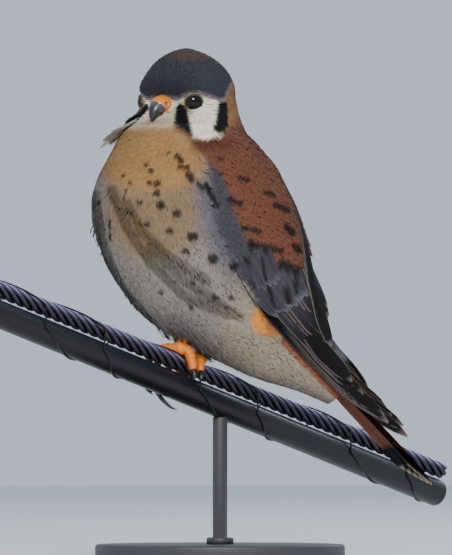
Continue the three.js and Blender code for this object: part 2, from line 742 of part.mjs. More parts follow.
// The shank, from the ball of the foot up into the belly; a stretch lengthens its upper end.
function legLine(foot, stretch = 0) {
  const low = wirePoint(foot.along, 0, STRAND_RADIUS + GAP + SHANK_RISE);
  const way = new THREE.Vector3(SHANK_LEAN, 0, 1).normalize();
  const high = low.clone().addScaledVector(way, SHANK_LENGTH + stretch);
  return [low, low.clone().lerp(high, 0.5), high];
}

function disc() {
  const profile = [
    [0, 0], [BASE_RADIUS - BASE_FOOT, 0], [BASE_RADIUS, BASE_FOOT],
    [BASE_RADIUS, BASE_HEIGHT - BASE_BEVEL], [BASE_RADIUS - BASE_BEVEL, BASE_HEIGHT], [0, BASE_HEIGHT],
  ].map(([r, z]) => new THREE.Vector2(r, z));
  const geometry = new THREE.LatheGeometry(profile, BASE_SIDES);
  geometry.rotateX(Math.PI / 2);
  geometry.translate(WIRE_MIDDLE.x, WIRE_MIDDLE.y, 0);
  return geometry;
}

const COLOURS = {
  slate: 0x5a5f6e, rufous: 0xa8683f, buff: 0xc9a070, cream: 0xcfc4a6, bluegrey: 0x62687a,
  horn: 0x3c4048, cere: 0xe39a3a, eye: 0x1a1210, skin: 0xe68a32, claw: 0x1c1a1a,
  tail: 0xb86a40, steel: 0x9a96a4, cable: 0x1b1a1c, stand: 0x2b2b2d,
};

const group = new THREE.Group();
group.name = 'american_kestrel';

function keep(name, source, colour, roughness, metalness = 0) {
  const geometry = source.isBufferGeometry ? source : toGeometry(source);
  const plain = geometry.clone();
  plain.deleteAttribute('normal');
  plain.deleteAttribute('uv');
  const merged = facingOut(mergeVertices(plain, WELD));
  merged.translate(BIRD_SHIFT.x, BIRD_SHIFT.y, BIRD_SHIFT.z);
  merged.computeVertexNormals();
  const material = new THREE.MeshStandardMaterial({ color: COLOURS[colour], roughness, metalness });
  const mesh = new THREE.Mesh(merged, material);
  mesh.name = name;
  group.add(mesh);
}

// Body: one loft, parted by thin gaps at the head and at the neck.
const TAIL_END = STATIONS.length;
const headBlank = toSolid(bodyLoft(0, HEAD_CUT, HEAD_STEPS));
const neckSolid = toSolid(bodyLoft(HEAD_CUT + CUT_SHARE, NECK_CUT, NECK_STEPS));
let torsoSolid = toSolid(bodyLoft(NECK_CUT + CUT_SHARE, TAIL_END, TORSO_STEPS));
const torsoGrown = toSolid(bodyLoft(NECK_CUT + CUT_SHARE, TAIL_END, TORSO_STEPS, CLEAR));
const neckGrown = toSolid(bodyLoft(HEAD_CUT + CUT_SHARE, NECK_CUT, NECK_STEPS, CLEAR));

// Eyes, lids and bill.
let headSolid = headBlank;
for (const side of [-1, 1]) {
  const look = headPoint(EYE_LOOK.forward, side * EYE_LOOK.aside, EYE_LOOK.up);
  const outward = look.sub(HEAD_MIDDLE).normalize();
  const front = headPoint(EYE_PLACE.forward, side * EYE_PLACE.aside, EYE_PLACE.up);
  const middle = front.clone().addScaledVector(outward, -EYE_DEPTH);
  const turnTo = new THREE.Quaternion().setFromUnitVectors(new THREE.Vector3(0, 0, 1), outward);
  const ball = new THREE.SphereGeometry(EYE_RADIUS, 14, 10);
  ball.translate(middle.x, middle.y, middle.z);
  const socket = new THREE.SphereGeometry(EYE_RADIUS + GAP, 14, 9);
  socket.translate(middle.x, middle.y, middle.z);
  const lid = new THREE.SphereGeometry(EYE_RADIUS + GAP + LID_THICK, 15, 10);
  lid.translate(middle.x, middle.y, middle.z);
  const opening = new THREE.CylinderGeometry(LID_OPENING, LID_OPENING * LID_TAPER, 2 * EYE_RADIUS, 16);
  opening.rotateX(Math.PI / 2);
  opening.translate(0, 0, EYE_RADIUS);
  opening.applyQuaternion(turnTo);
  opening.translate(middle.x, middle.y, middle.z);
  headSolid = headSolid.add(toSolid(lid)).subtract(toSolid(socket)).subtract(toSolid(opening));
  keep(side > 0 ? 'eye_left' : 'eye_right', ball, 'eye', 0.08);
}

// Loft of half a bill, its rings square to its line. The probe is the step that gives its direction.
const BILL_PROBE = 0.05;
function billLoft(line, heights, widths, steps, sides, grow) {
  const rings = [];
  for (let i = 0; i <= steps; i += 1) {
    const place = (i / steps) * (line.length - 1);
    const forward = through(line.map((p) => p[0]), place);
    const up = through(line.map((p) => p[1]), place);
    const next = Math.min(place + BILL_PROBE, line.length - 1);
    const ahead = through(line.map((p) => p[0]), next) - through(line.map((p) => p[0]), place - BILL_PROBE);
    const rise = through(line.map((p) => p[1]), next) - through(line.map((p) => p[1]), place - BILL_PROBE);
    const size = Math.hypot(ahead, rise);
    const tall = Math.max(through(heights, place), THINNEST) + grow;
    const wide = Math.max(through(widths, place), THINNEST) + grow;
    const ring = [];
    for (let j = 0; j < sides; j += 1) {
      const angle = (j / sides) * 2 * Math.PI;
      const over = tall * Math.cos(angle);
      const aside = wide * Math.sin(angle);
      ring.push(headPoint(forward - (rise / size) * over, aside, up + (ahead / size) * over));
    }
    rings.push(ring);
  }
  return ringsToGeometry(rings);
}

// Bill: lines of the two halves as forward and up from the skull's middle, with half heights
// and half widths along them.
const UPPER_LINE = [[12, -4.6], [16, -4.9], [19.4, -5.6], [22.4, -8.0], [24.0, -11.2], [24.4, -14.4]];
const UPPER_TALL = [4.0, 4.0, 3.8, 2.9, 1.7, 0.25];
const UPPER_WIDE = [4.6, 4.8, 4.4, 3.2, 1.7, 0.25];
const LOWER_LINE = [[12, -10.2], [15.5, -10.3], [18.8, -10.5], [21.4, -10.7]];
const LOWER_TALL = [1.9, 1.8, 1.4, 0.5];
const LOWER_WIDE = [3.9, 3.6, 2.8, 0.9];
const NOSTRIL_LINE = [[20.4, 2.4, -4.6], [19.4, 4.2, -4.4], [18.6, 6.2, -4.2]];
const NOSTRIL_RADII = [0.7, 0.85, 0.95];
const MOUTH_LINE = [[18.6, 4.2, -8.6], [18.0, 7.8, -9.1], [15.8, 12.0, -10.3]];
const MOUTH_RADII = [0.9, 0.9, 0.4];
// Steps and sides of the two halves of the bill, of a nostril and of a corner of the mouth.
const UPPER_RINGS = [11, 12];
const LOWER_RINGS = [5, 10];
const NOSTRIL_RINGS = [3, 8];
const MOUTH_RINGS = [4, 5];
let upperBill = toSolid(billLoft(UPPER_LINE, UPPER_TALL, UPPER_WIDE, ...UPPER_RINGS, 0));
const upperRoom = toSolid(billLoft(UPPER_LINE, UPPER_TALL, UPPER_WIDE, ...UPPER_RINGS, GAP));
let lowerBill = toSolid(billLoft(LOWER_LINE, LOWER_TALL, LOWER_WIDE, ...LOWER_RINGS, 0));
const lowerRoom = toSolid(billLoft(LOWER_LINE, LOWER_TALL, LOWER_WIDE, ...LOWER_RINGS, GAP));
lowerBill = lowerBill.subtract(upperRoom);
for (const side of [-1, 1]) {
  const nostril = NOSTRIL_LINE.map(([forward, aside, up]) => headPoint(forward, side * aside, up));
  upperBill = upperBill.subtract(toSolid(sweep(nostril, NOSTRIL_RADII, ...NOSTRIL_RINGS)));
  const corner = MOUTH_LINE.map(([forward, aside, up]) => headPoint(forward, side * aside, up));
  headSolid = headSolid.subtract(toSolid(sweep(corner, MOUTH_RADII, ...MOUTH_RINGS)));
}
headSolid = headSolid.subtract(upperRoom).subtract(lowerRoom);
keep('head', headSolid, 'slate', 0.85);
keep('bill_upper', upperBill, 'horn', 0.35);
keep('bill_lower', lowerBill, 'horn', 0.35);
keep('neck', neckSolid, 'buff', 0.9);

// Legs and feet, cut clear of the wire.
const strandRoom = toSolid(strand(GAP));
const cableRoom = toSolid(cable(GAP));
for (const foot of FEET) {
  const leg = toSolid(sweep(legLine(foot), SHANK_RADII, 5, 10));
  const roomRadii = SHANK_RADII.map((radius) => radius + GAP);
  const legRoom = toSolid(sweep(legLine(foot, GAP), roomRadii, 5, 10));
  torsoSolid = torsoSolid.subtract(legRoom);
  let footShape = footSolid(foot).subtract(legRoom).subtract(torsoGrown);
  footShape = footShape.subtract(strandRoom).subtract(cableRoom);
  for (const toe of foot.toes) {
    const line = clawLine(foot, toe);
    keep(`claw_${foot.name}_${toe.name}`, sweep(line, CLAW_RADII, ...CLAW_RINGS), 'claw', 0.3);
    const room = CLAW_RADII.map((radius) => radius + GAP);
    footShape = footShape.subtract(toSolid(sweep(line, room, ...CLAW_RINGS)));
  }
  keep(`foot_${foot.name}`, footShape, 'skin', 0.6);
  keep(`leg_${foot.name}`, leg, 'skin', 0.6);
}

// Tail and wings, cut clear of the body and of each other.
const tail = toSolid(tailCore()).add(tailFeathers()).subtract(torsoGrown);
keep('torso', torsoSolid, 'rufous', 0.9);
keep('tail', tail, 'tail', 0.8);
for (const side of [-1, 1]) {
  const wing = wingFeathers(side).subtract(torsoGrown).subtract(neckGrown);
  keep(side < 0 ? 'wing_left' : 'wing_right', wing, 'bluegrey', 0.85);
}

// Perch and stand.
keep('perch_strand', strand(), 'steel', 0.4, 0.6);
keep('perch_cable', cable(), 'cable', 0.25);
keep('stand_base', disc(), 'stand', 0.5);
const rodFoot = new THREE.Vector3(WIRE_MIDDLE.x, WIRE_MIDDLE.y, BASE_HEIGHT + GAP);
const rodHead = new THREE.Vector3(WIRE_MIDDLE.x, WIRE_MIDDLE.y, WIRE_MIDDLE.z - CABLE_DROP);
const rod = new THREE.CylinderGeometry(ROD_RADIUS, ROD_RADIUS, rodHead.z - rodFoot.z, ROD_SIDES);
rod.rotateX(Math.PI / 2);
rod.translate(rodFoot.x, rodFoot.y, (rodHead.z + rodFoot.z) / 2);
keep('stand_rod', toSolid(rod).subtract(cableRoom), 'stand', 0.4, 0.5);

export default group;
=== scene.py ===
# %% [markdown]
# # A male American kestrel on a lashed cable
# This notebook dresses a small falcon in feathers. The construction underneath gives every size:
# the skull, the trunk, the folded wings, the tail, the feet on the wire. Here each of those forms
# gets the surface a visitor would see in a museum case. All shapes are surfaces worked out with
# numpy from a few named sizes, in millimetres of the bird's own frame, and turned into metres of
# the shared frame when the mesh is made.

# %% Load the construction
import math

import bpy
import numpy as np
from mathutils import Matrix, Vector


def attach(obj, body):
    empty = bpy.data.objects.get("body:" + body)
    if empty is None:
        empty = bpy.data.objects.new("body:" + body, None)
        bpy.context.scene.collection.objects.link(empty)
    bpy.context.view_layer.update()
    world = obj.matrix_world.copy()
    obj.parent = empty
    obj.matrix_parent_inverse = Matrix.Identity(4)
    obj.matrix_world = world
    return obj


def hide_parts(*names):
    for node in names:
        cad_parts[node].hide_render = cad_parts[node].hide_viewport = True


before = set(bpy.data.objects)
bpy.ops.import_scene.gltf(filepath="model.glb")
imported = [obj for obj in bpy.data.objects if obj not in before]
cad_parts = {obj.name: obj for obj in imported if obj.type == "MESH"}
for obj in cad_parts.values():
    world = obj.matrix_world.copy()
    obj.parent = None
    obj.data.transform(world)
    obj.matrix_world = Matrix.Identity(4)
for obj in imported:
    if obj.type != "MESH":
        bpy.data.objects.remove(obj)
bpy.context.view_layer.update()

print("nodes in the construction:", len(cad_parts))

# %% [markdown]
# ## The picture's scale and the camera
# The photograph was taken from far off with a long lens, level with the bird and a little in front
# of its left side. A long lens keeps the wire's two edges parallel, as they are in the picture. The
# numbers below say how a place on the bird falls on a pixel, which later lets a marking be put
# where the photograph shows it.

# %% Scale and camera
MM = 0.001
PIXEL = 0.48
ORIGIN_PX = np.array([220.0, 565.0])
VIEW_TURN = math.radians(-12)
PICTURE = (452, 555)
FAR = 8.0
SENSOR = 36.0
SIGHT_END = 60.0
BIRD_SHIFT = np.array([-3.1, -14.75, 0.0])


def seen(points):
    """Pixel column and row of points: across the line of sight over the scale, and height down."""
    across = points[..., 0] * math.cos(VIEW_TURN) + points[..., 1] * math.sin(VIEW_TURN)
    return ORIGIN_PX[0] + across / PIXEL, ORIGIN_PX[1] - points[..., 2] / PIXEL


def add_camera():
    """A camera level with the middle of the picture, far enough back for the long lens."""
    across = (PICTURE[0] / 2 - ORIGIN_PX[0]) * PIXEL * MM
    height = (ORIGIN_PX[1] - PICTURE[1] / 2) * PIXEL * MM
    target = Vector((across * math.cos(VIEW_TURN), across * math.sin(VIEW_TURN), height))
    back = Vector((math.sin(VIEW_TURN), -math.cos(VIEW_TURN), 0.0))
    lens = bpy.data.cameras.new("camera")
    lens.sensor_width = SENSOR
    lens.lens = SENSOR * FAR / (PICTURE[1] * PIXEL * MM)
    lens.clip_end = SIGHT_END
    camera = bpy.data.objects.new("camera", lens)
    camera.location = target + back * FAR
    camera.rotation_euler = (-back).to_track_quat("-Z", "Y").to_euler()
    bpy.context.scene.collection.objects.link(camera)
    bpy.context.scene.camera = camera
    print("lens", round(lens.lens, 1), "mm at", FAR, "m")


add_camera()

# %% [markdown]
# ## Shader arithmetic
# Feathers need many small sums in their materials: a stripe times a mask plus a grain. Node by
# node that is hard to read. The class below wraps a socket, so that plain Python arithmetic builds
# the Math nodes. Any other node comes from one method.

# %% A socket that can be added and multiplied
class Flow:
    """A number or colour flowing out of a node. Arithmetic on it adds Math nodes."""

    def __init__(self, tree, socket):
        self.tree = tree
        self.socket = socket

    def math(self, operation, *others):
        """A Math node of this operation, with this flow as its first input."""
        return node(self.tree, "ShaderNodeMath", {"operation": operation}, self, *others)

    def __add__(self, other):
        return self.math("ADD", other)

    def __sub__(self, other):
        return self.math("SUBTRACT", other)

    def __mul__(self, other):
        return self.math("MULTIPLY", other)

    __radd__ = __add__

    def fade(self, start, end):
        """0 before start, 1 past end, and a smooth step between them."""
        settings = {"interpolation_type": "SMOOTHSTEP"}
        return node(self.tree, "ShaderNodeMapRange", settings, self, start, end)


def node(tree, kind, settings, *inputs, output=0, **named):
    """One node: its settings first, then its inputs in order or by name, as values or flows."""
    made = tree.nodes.new(kind)
    for key, value in settings.items():
        setattr(made, key, value)
    pairs = list(enumerate(inputs)) + [(key.replace("_", " "), value) for key, value in named.items()]
    for key, value in pairs:
        if isinstance(value, Flow):
            tree.links.new(value.socket, made.inputs[key])
        elif value is not None:
            made.inputs[key].default_value = value
    return Flow(tree, made.outputs[output])


def mix_colours(tree, factor, first, second, blend="MIX"):
    """Colour between two, by a Mix node."""
    made = tree.nodes.new("ShaderNodeMix")
    made.data_type = "RGBA"
    made.blend_type = blend
    for key, value in ((0, factor), (6, first), (7, second)):
        if isinstance(value, Flow):
            tree.links.new(value.socket, made.inputs[key])
        else:
            made.inputs[key].default_value = value
    return Flow(tree, made.outputs[2])


def material(name, build, **fixed):
    """A Principled material: fixed values on its sockets, then what build(tree) returns, linked."""
    made = bpy.data.materials.new(name)
    made.use_nodes = True
    tree = made.node_tree
    shader = tree.nodes["Principled BSDF"]
    for key, value in fixed.items():
        shader.inputs[key.replace("_", " ")].default_value = value
    for key, flow in build(tree).items():
        tree.links.new(flow.socket, shader.inputs[key])
    return made


def marking(tree):
    """The colours that a mesh carries at its points."""
    return node(tree, "ShaderNodeVertexColor", {"layer_name": "Marking"})


def grain_of(tree, scale, detail):
    """A fine noise in the shared frame, with its scale in turns for one metre."""
    spot = node(tree, "ShaderNodeTexCoord", {}, output=3)
    return node(tree, "ShaderNodeTexNoise", {}, Vector=spot, Scale=scale, Detail=detail)


def shaded(tree, colour, shade):
    """A colour times a shade of grey."""
    grey = node(tree, "ShaderNodeCombineColor", {}, shade, shade, shade)
    return mix_colours(tree, 1.0, colour, grey, "MULTIPLY")


def bumped(tree, strength, distance, height):
    """A bump of the normal by a height that runs from 0 to 1 over the distance in metres."""
    return node(tree, "ShaderNodeBump", {}, Strength=strength, Distance=distance, Height=height)


def paint(red, green, blue):
    """A colour given as on a screen, 0 to 255, in the linear values that shaders use."""
    screen = np.array([red, green, blue]) / 255
    linear = np.where(screen < 0.04045, screen / 12.92, ((screen + 0.055) / 1.055) ** 2.4)
    return (*linear.tolist(), 1.0)


# %% [markdown]
# ## From arrays to meshes
# Every piece below is an array of points and a list of faces. One maker turns them into an object
# in the shared frame, with its colours and its maps. A grid's faces only depend on its size, so
# one function gives them for every surface.

# %% Grids, tubes and the mesh maker
def tile(rows, columns, wrap=True):
    """Quads of a grid of points, row by row; with wrap the last column meets the first."""
    column = np.arange(columns if wrap else columns - 1)
    row = np.arange(rows - 1)[:, None]
    following = (column + 1) % columns
    quads = [row * columns + column, row * columns + following]
    quads += [(row + 1) * columns + following, (row + 1) * columns + column]
    return np.stack(quads, -1).reshape(-1, 4)


def all_round(count):
    """Evenly spaced angles all the way round, without the last that would repeat the first."""
    return np.linspace(0, 2 * math.pi, count, endpoint=False)


def close_rings(rings):
    """Points and faces of a tube through rings of points, with a fan to the middle of each end."""
    rows, columns = rings.shape[:2]
    ends = rings[[0, -1]].mean(axis=1)
    points = np.concatenate([rings.reshape(-1, 3), ends])
    column = np.arange(columns)
    following = (column + 1) % columns
    first = np.full(columns, rows * columns)
    last = (rows - 1) * columns
    fans = [np.stack([first, following, column], -1)]
    fans.append(np.stack([first + 1, last + column, last + following], -1))
    return points, [tile(rows, columns), np.concatenate(fans)]


def volume(points, faces):
    """Signed volume inside a closed mesh, positive where its faces point outwards."""
    total = 0.0
    for block in faces:
        for k in range(1, block.shape[1] - 1):
            a, b, c = (points[block[:, j]] for j in (0, k, k + 1))
            total += (a * np.cross(b, c)).sum() / 6
    return total


def unit(vectors):
    """Vectors divided by their own lengths."""
    return vectors / np.linalg.norm(vectors, axis=-1, keepdims=True)


def make(name, points, faces, finish, slot, colours=None, maps=None, stands_for=(), rims=None):
    """An object in the shared frame from points in millimetres of the bird's frame.

    Rims has a bit for each of the two long edges and the two ends of a blade. Shading breaks along
    them, so that a thin blade is lit as two sides and not as a rounded bar.
    """
    if volume(points, faces) < 0:
        faces = [block[:, ::-1] for block in faces]
    corners = np.concatenate([block.ravel() for block in faces])
    sizes = np.concatenate([np.full(len(block), block.shape[1]) for block in faces])
    mesh = bpy.data.meshes.new(name)
    mesh.vertices.add(len(points))
    mesh.vertices.foreach_set("co", ((points + BIRD_SHIFT) * MM).ravel())
    mesh.loops.add(len(corners))
    mesh.loops.foreach_set("vertex_index", corners)
    mesh.polygons.add(len(sizes))
    mesh.polygons.foreach_set("loop_start", np.concatenate([[0], np.cumsum(sizes)[:-1]]))
    mesh.update(calc_edges=True)
    mesh.shade_smooth()
    if rims is not None:
        ends = np.empty(2 * len(mesh.edges), np.int32)
        mesh.edges.foreach_get("vertices", ends)
        first, second = rims[ends.reshape(-1, 2)].T
        sharp = mesh.attributes.new("sharp_edge", "BOOLEAN", "EDGE")
        sharp.data.foreach_set("value", (first & second) != 0)
    if colours is not None:
        layer = mesh.color_attributes.new("Marking", "FLOAT_COLOR", "POINT")
        layer.data.foreach_set("color", colours.ravel())
    for key, values in (maps or {}).items():
        layer = mesh.uv_layers.new(name=key)
        layer.uv.foreach_set("vector", values[corners].ravel())
    mesh.materials.append(finish)
    piece = bpy.data.objects.new(name, mesh)
    bpy.context.scene.collection.objects.link(piece)
    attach(piece, "root")
    if stands_for:
        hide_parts(*stands_for)
    triangles = int((sizes - 2).sum())
    print(f"{name}: {len(points)} points, {triangles} triangles")
    return piece


def join(parts):
    """One set of points and faces out of several."""
    start = 0
    points = []
    faces = []
    for some, blocks in parts:
        points.append(some)
        faces += [block + start for block in blocks]
        start += len(some)
    return np.concatenate(points), faces


# %% [markdown]
# ## The body's own shape
# A perched falcon is one smooth form from the crown to the root of the tail. It is described as a
# stack of sections, each with its place, its lean and its reach to the front, back and sides. A
# smooth curve through those numbers gives the section anywhere between. The same form carries the
# skin and every feather, so nothing can drift apart.

# %% Sections of the body
HEAD_MIDDLE = np.array([-17.1, 0.0, 226.0])
HEAD_TURN = math.radians(38)
CROWN_RISE = 21.8
CROWN_PEAK = 1.18
SECTIONS = {
    "x": [-17.1, -17.0, -17.6, -17.7, -17.0, -14.7, -10.8, -6.9, -2.9, 3.9, 13.7, 27.5, 42.2, 56.9],
    "z": [226, 217, 208.8, 201, 192.5, 181.9, 169.4, 157, 144.5, 131, 117.6, 105.1, 94.0, 81.6],
    "lean": [0, 0, 3, 7, 12, 18, 24, 30, 36, 42, 47, 51, 50, 47],
    "front": [19.4, 21.0, 31.0, 37.2, 44.6, 50.2, 51.0, 48.4, 42.6, 35.6, 25.6, 18.8, 12.4, 5.6],
    "back": [26.0, 27.2, 28.6, 32.0, 36.6, 41.0, 44.0, 44.0, 42.0, 37.0, 32.0, 24.0, 14.5, 7.2],
    "half": [22.8, 25.0, 28.5, 31.0, 34.5, 36.4, 36.8, 36.2, 34.2, 29.6, 23.0, 16.5, 12.0, 8.6],
    "turn": [38, 37, 26, 16, 6, 1, 0, 0, 0, 0, 0, 0, 0, 0],
}
TAIL_END = len(SECTIONS["x"])
FACE_SWELLINGS = {
    "brow": (13, 14, 3.0, 5, 1.2),
    "lores": (17, 8.5, -4, 4.5, -1.2),
    "cheek": (8, 18, -12, 8, 1.4),
    "base of the bill": (20, 0, -6, 7, -2.8),
    "socket": (14, 17.4, -4.9, 5.5, -1.0),
}
FEET_HOLLOW = {"place": np.array([-18.0, -6.0, 106.0]), "reach": 13, "rise": -3.6}
AHEAD = np.array([-math.cos(HEAD_TURN), -math.sin(HEAD_TURN), 0.0])
LEFT = np.array([math.sin(HEAD_TURN), -math.cos(HEAD_TURN), 0.0])
UP = np.array([0.0, 0.0, 1.0])


def through(values, place):
    """Smooth value through evenly placed numbers: the cubic that passes through each of them."""
    values = np.asarray(values, float)
    last = len(values) - 1
    index = np.clip(np.floor(place).astype(int), 0, last - 1)
    t = np.clip(place - index, 0, 1)
    before = 2 * values[0] - values[1]
    after = 2 * values[-1] - values[-2]
    padded = np.concatenate([[before], values, [after]])
    p0, p1, p2, p3 = (padded[index + k] for k in range(4))
    bend = 2 * p0 - 5 * p1 + 4 * p2 - p3
    return 0.5 * (2 * p1 + (p2 - p0) * t + bend * t * t + (3 * p1 - p0 - 3 * p2 + p3) * t**3)


def head_point(forward, aside, up):
    """Points of the head from its middle: forward along the bill, aside to its left, and up."""
    forward, aside, up = (np.asarray(v, float)[..., None] for v in (forward, aside, up))
    return HEAD_MIDDLE + forward * AHEAD + aside * LEFT + up * UP


def swelling(points):
    """How far the body swells at points: a round bump or hollow at each named place."""
    total = np.zeros(points.shape[:-1])
    for forward, aside, up, reach, rise in FACE_SWELLINGS.values():
        for side in {-1, 1} if aside else {1}:
            distance = np.linalg.norm(points - head_point(forward, side * aside, up), axis=-1)
            total += rise * np.exp(-((distance / reach) ** 2))
    distance = np.linalg.norm(points - FEET_HOLLOW["place"], axis=-1) / FEET_HOLLOW["reach"]
    return total + FEET_HOLLOW["rise"] * np.exp(-(distance**2))


def body_point(place, angle, lift):
    """Points of the body: place 0 is the crown, 1 the eyes, then one for each section.

    Round a section the angle runs from the breast to the bird's right. The reach in each
    direction follows the section's front, back and half width, and lift is added to it.
    """
    place, angle, lift = np.broadcast_arrays(*(np.asarray(v, float) for v in (place, angle, lift)))
    dome = np.clip(place, 0, 1) * math.pi / 2
    low = np.maximum(place - 1, 0)
    value = {key: through(numbers, low) for key, numbers in SECTIONS.items()}
    lean = np.radians(value["lean"])
    turn = np.radians(value["turn"])
    level = value["z"] + CROWN_RISE * np.cos(dome) + np.where(place < 1, lift * np.cos(dome), 0)
    middle = np.stack([value["x"], np.zeros_like(low), level], -1)
    ahead = unit(np.stack([-np.cos(lean) * np.cos(turn), -np.sin(turn), -np.sin(lean)], -1))
    spine = np.stack([np.sin(lean), np.zeros_like(lean), -np.cos(lean)], -1)
    spine = unit(spine - ahead * (spine * ahead).sum(-1, keepdims=True))
    aside = np.cross(spine, ahead)
    size = np.sin(dome) ** CROWN_PEAK
    forth = np.cos(angle) * size
    across = np.sin(angle) * size
    deep = np.where(forth > 0, value["front"], value["back"])
    flat = middle + ahead * (deep * forth)[..., None] + aside * (value["half"] * across)[..., None]
    swell = swelling(flat) + lift
    return flat + ahead * (swell * forth)[..., None] + aside * (swell * across)[..., None]


crown = body_point(0.0, 0.0, 0.0)
print("crown at", np.round(crown, 1), "mm of the bird's frame")

# %% [markdown]
# ## Colours of the plumage
# A male of this species has a slate cap, two dark bars down a white cheek, a rufous back with
# black bars, blue-grey wings and a buff breast that pales to a cream belly. The marks of the face
# are given by the turn round the head from the bill and by height. Those of the body are given as
# places in the picture, because that is where they can be seen; the bird's right side mirrors its
# left. Each mark is a soft mask, and the masks are laid over one another like washes of paint. A
# spot is written as column, row and half its width, and any other mark as its start, its end and
# half its width.

# %% Washes of colour
SLATE = paint(50, 51, 58)
CAP_BROWN = paint(88, 66, 60)
SLATE_BROW = paint(112, 104, 108)
WHITE = paint(212, 209, 192)
THROAT = paint(190, 180, 154)
STRIPE = paint(20, 20, 23)
LID_RED = paint(92, 52, 40)
NAPE = paint(124, 90, 60)
RUFOUS = paint(98, 62, 48)
RUFOUS_DARK = paint(72, 42, 30)
BUFF = paint(142, 108, 68)
BUFF_PALE = paint(120, 102, 80)
BELLY = paint(125, 120, 114)
CREAM = paint(142, 131, 116)
SHADE_GREY = paint(88, 87, 96)
ORANGE = paint(218, 136, 46)
BLUE_GREY = paint(60, 59, 66)
TAIL_RUFOUS = paint(126, 78, 60)
BLACK = paint(20, 19, 20)


def fade(value, start, end):
    """0 before start, 1 past end, and a smooth step between them; start may be past end."""
    t = np.clip((value - start) / (end - start), 0, 1)
    return t * t * (3 - 2 * t)


def wash(colours, colour, mask):
    """Colours with one more wash of paint over them, as thick as its mask."""
    return colours + (np.array(colour[:3]) - colours) * mask[..., None]


def ground(points, colour):
    """One colour at every point, to lay washes on."""
    return np.broadcast_to(np.array(colour[:3]), points.shape)


def opaque(colours):
    """Colours with the fourth value that a mesh's colours have, 1 all over, point by point."""
    return np.concatenate([colours, np.ones((*colours.shape[:-1], 1))], -1).reshape(-1, 4)


def blot(column, row, middle, reach):
    """A soft oval mask: 1 inside, fading out over the last third of its reach."""
    distance = np.hypot((column - middle[0]) / reach[0], (row - middle[1]) / reach[1])
    return fade(distance, 1.15, 0.7)


def stroke(turn, up, start, end, half):
    """A soft brush stroke between two places, with half its width in the same units."""
    way = np.array(end) - np.array(start)
    along = np.clip(((turn - start[0]) * way[0] + (up - start[1]) * way[1]) / (way @ way), 0, 1)
    distance = np.hypot(turn - start[0] - along * way[0], up - start[1] - along * way[1])
    return fade(distance, half * 1.25, half * 0.75)


WING_BORDER = {"row": [150, 165, 192, 230, 266, 305, 320], "column": [203, 205, 211, 216, 236, 256, 264]}
MANTLE_BORDER = {"row": [128, 138, 150, 157, 173, 190, 207, 227, 247, 262, 270, 276],
                 "column": [184, 188, 197, 203, 220, 227, 232, 240, 250, 268, 292, 312]}
BREAST_SPOTS = [
    (169, 153.5, 1.6), (178, 157, 2.9), (181, 161, 2.6), (181, 167.5, 2.9), (187, 168.5, 2.7),
    (189, 176, 3.5), (192, 181, 2.8), (147, 166, 2.1), (151, 172, 2.4), (150, 183, 2.4),
    (157.5, 184.5, 3.3), (157, 194.5, 3.2), (161, 206, 4.0), (177, 214, 4.0), (140, 202.5, 2.5),
    (147, 225, 2.6), (170, 231.5, 3.1), (193, 237.5, 4.7), (186, 252, 3.1), (213, 259.5, 4.6),
    (234, 267, 4.2), (123.3, 176.7, 1.6), (130.3, 184, 1.7), (100, 203, 1.7), (193, 283.5, 2.6),
    (215.5, 297, 2.8), (161, 292, 2.0), (191, 307, 2.0), (231.5, 298, 2.8), (252, 286, 2.8),
]
BREAST_STREAKS = [
    ((126, 191), (124, 200), 1.3), ((110, 220), (110, 228), 1.3), ((111, 234), (111, 240), 1.2),
    ((198, 184), (203, 190), 2.0), ((206, 186), (213, 198), 3.0), ((212, 198), (217, 206), 2.2),
]
BACK_BARS = [
    ((238, 178), (248, 181), 2.1), ((230, 200), (240, 205), 2.9), ((265, 193), (273, 195), 2.2),
    ((275, 205.5), (288, 210.5), 3.0), ((286, 227), (292, 233), 3.4), ((243, 228.5), (259, 231.5), 2.4),
    ((256, 246), (281, 251), 3.0), ((294, 246), (299, 252), 3.2), ((281, 265), (297, 271), 4.6),
    ((216, 159), (223, 160), 1.3), ((248, 243), (251, 250), 1.6),
]
WING_DROPS = [
    ((295, 280), (296, 292), 2.8), ((287, 292), (289, 304), 3.0), ((246, 258), (248, 265), 2.0),
    ((252, 240), (252, 247), 1.8), ((262, 262), (266, 280), 1.5), ((266, 280), (272, 300), 1.5),
    ((272, 300), (277, 312), 1.6),
]


SPOT_OVAL = 0.3
MARK_STRENGTH = 0.9


def seen_mirrored(points):
    """Pixel column and row of points, with those of the right side mirrored to the left."""
    near = points.copy()
    near[..., 1] = -np.abs(near[..., 1])
    return seen(near)


def spotted(colours, points):
    """Colours with the dark marks of breast, back and wing, by place in the picture."""
    column, row = seen_mirrored(points)
    marks = [((x - SPOT_OVAL * half, y), (x + SPOT_OVAL * half, y), half) for x, y, half in BREAST_SPOTS]
    for start, end, half in marks + BREAST_STREAKS + BACK_BARS + WING_DROPS:
        colours = wash(colours, BLACK, MARK_STRENGTH * stroke(column, row, start, end, half))
    return colours


BREAST_PALE = ((155, 200), (58, 66))
BREAST_BUFF = ((152, 155), (64, 40))
BREAST_SHADED_SIDE = {"column": (128, 98), "row": (160, 195)}
WING_SHADE_ROWS = {"top": (168, 195), "foot": (322, 296)}
CREAM_EDGE = (325, 372)
THIGH_PATCH = ((270, 320), (20, 17))
THIGH_STRIP = ((284, 341), (342, 400), 4.0)
WING_FOOT = (345, 318)
MANTLE_FOOT = (290, 268)
MANTLE_RIM = {"top": (132, 140), "foot": (158, 146), "front": (186, 196), "back": (244, 220)}
RUMP = {"column": (262, 285), "row": (262, 285), "under": 38}


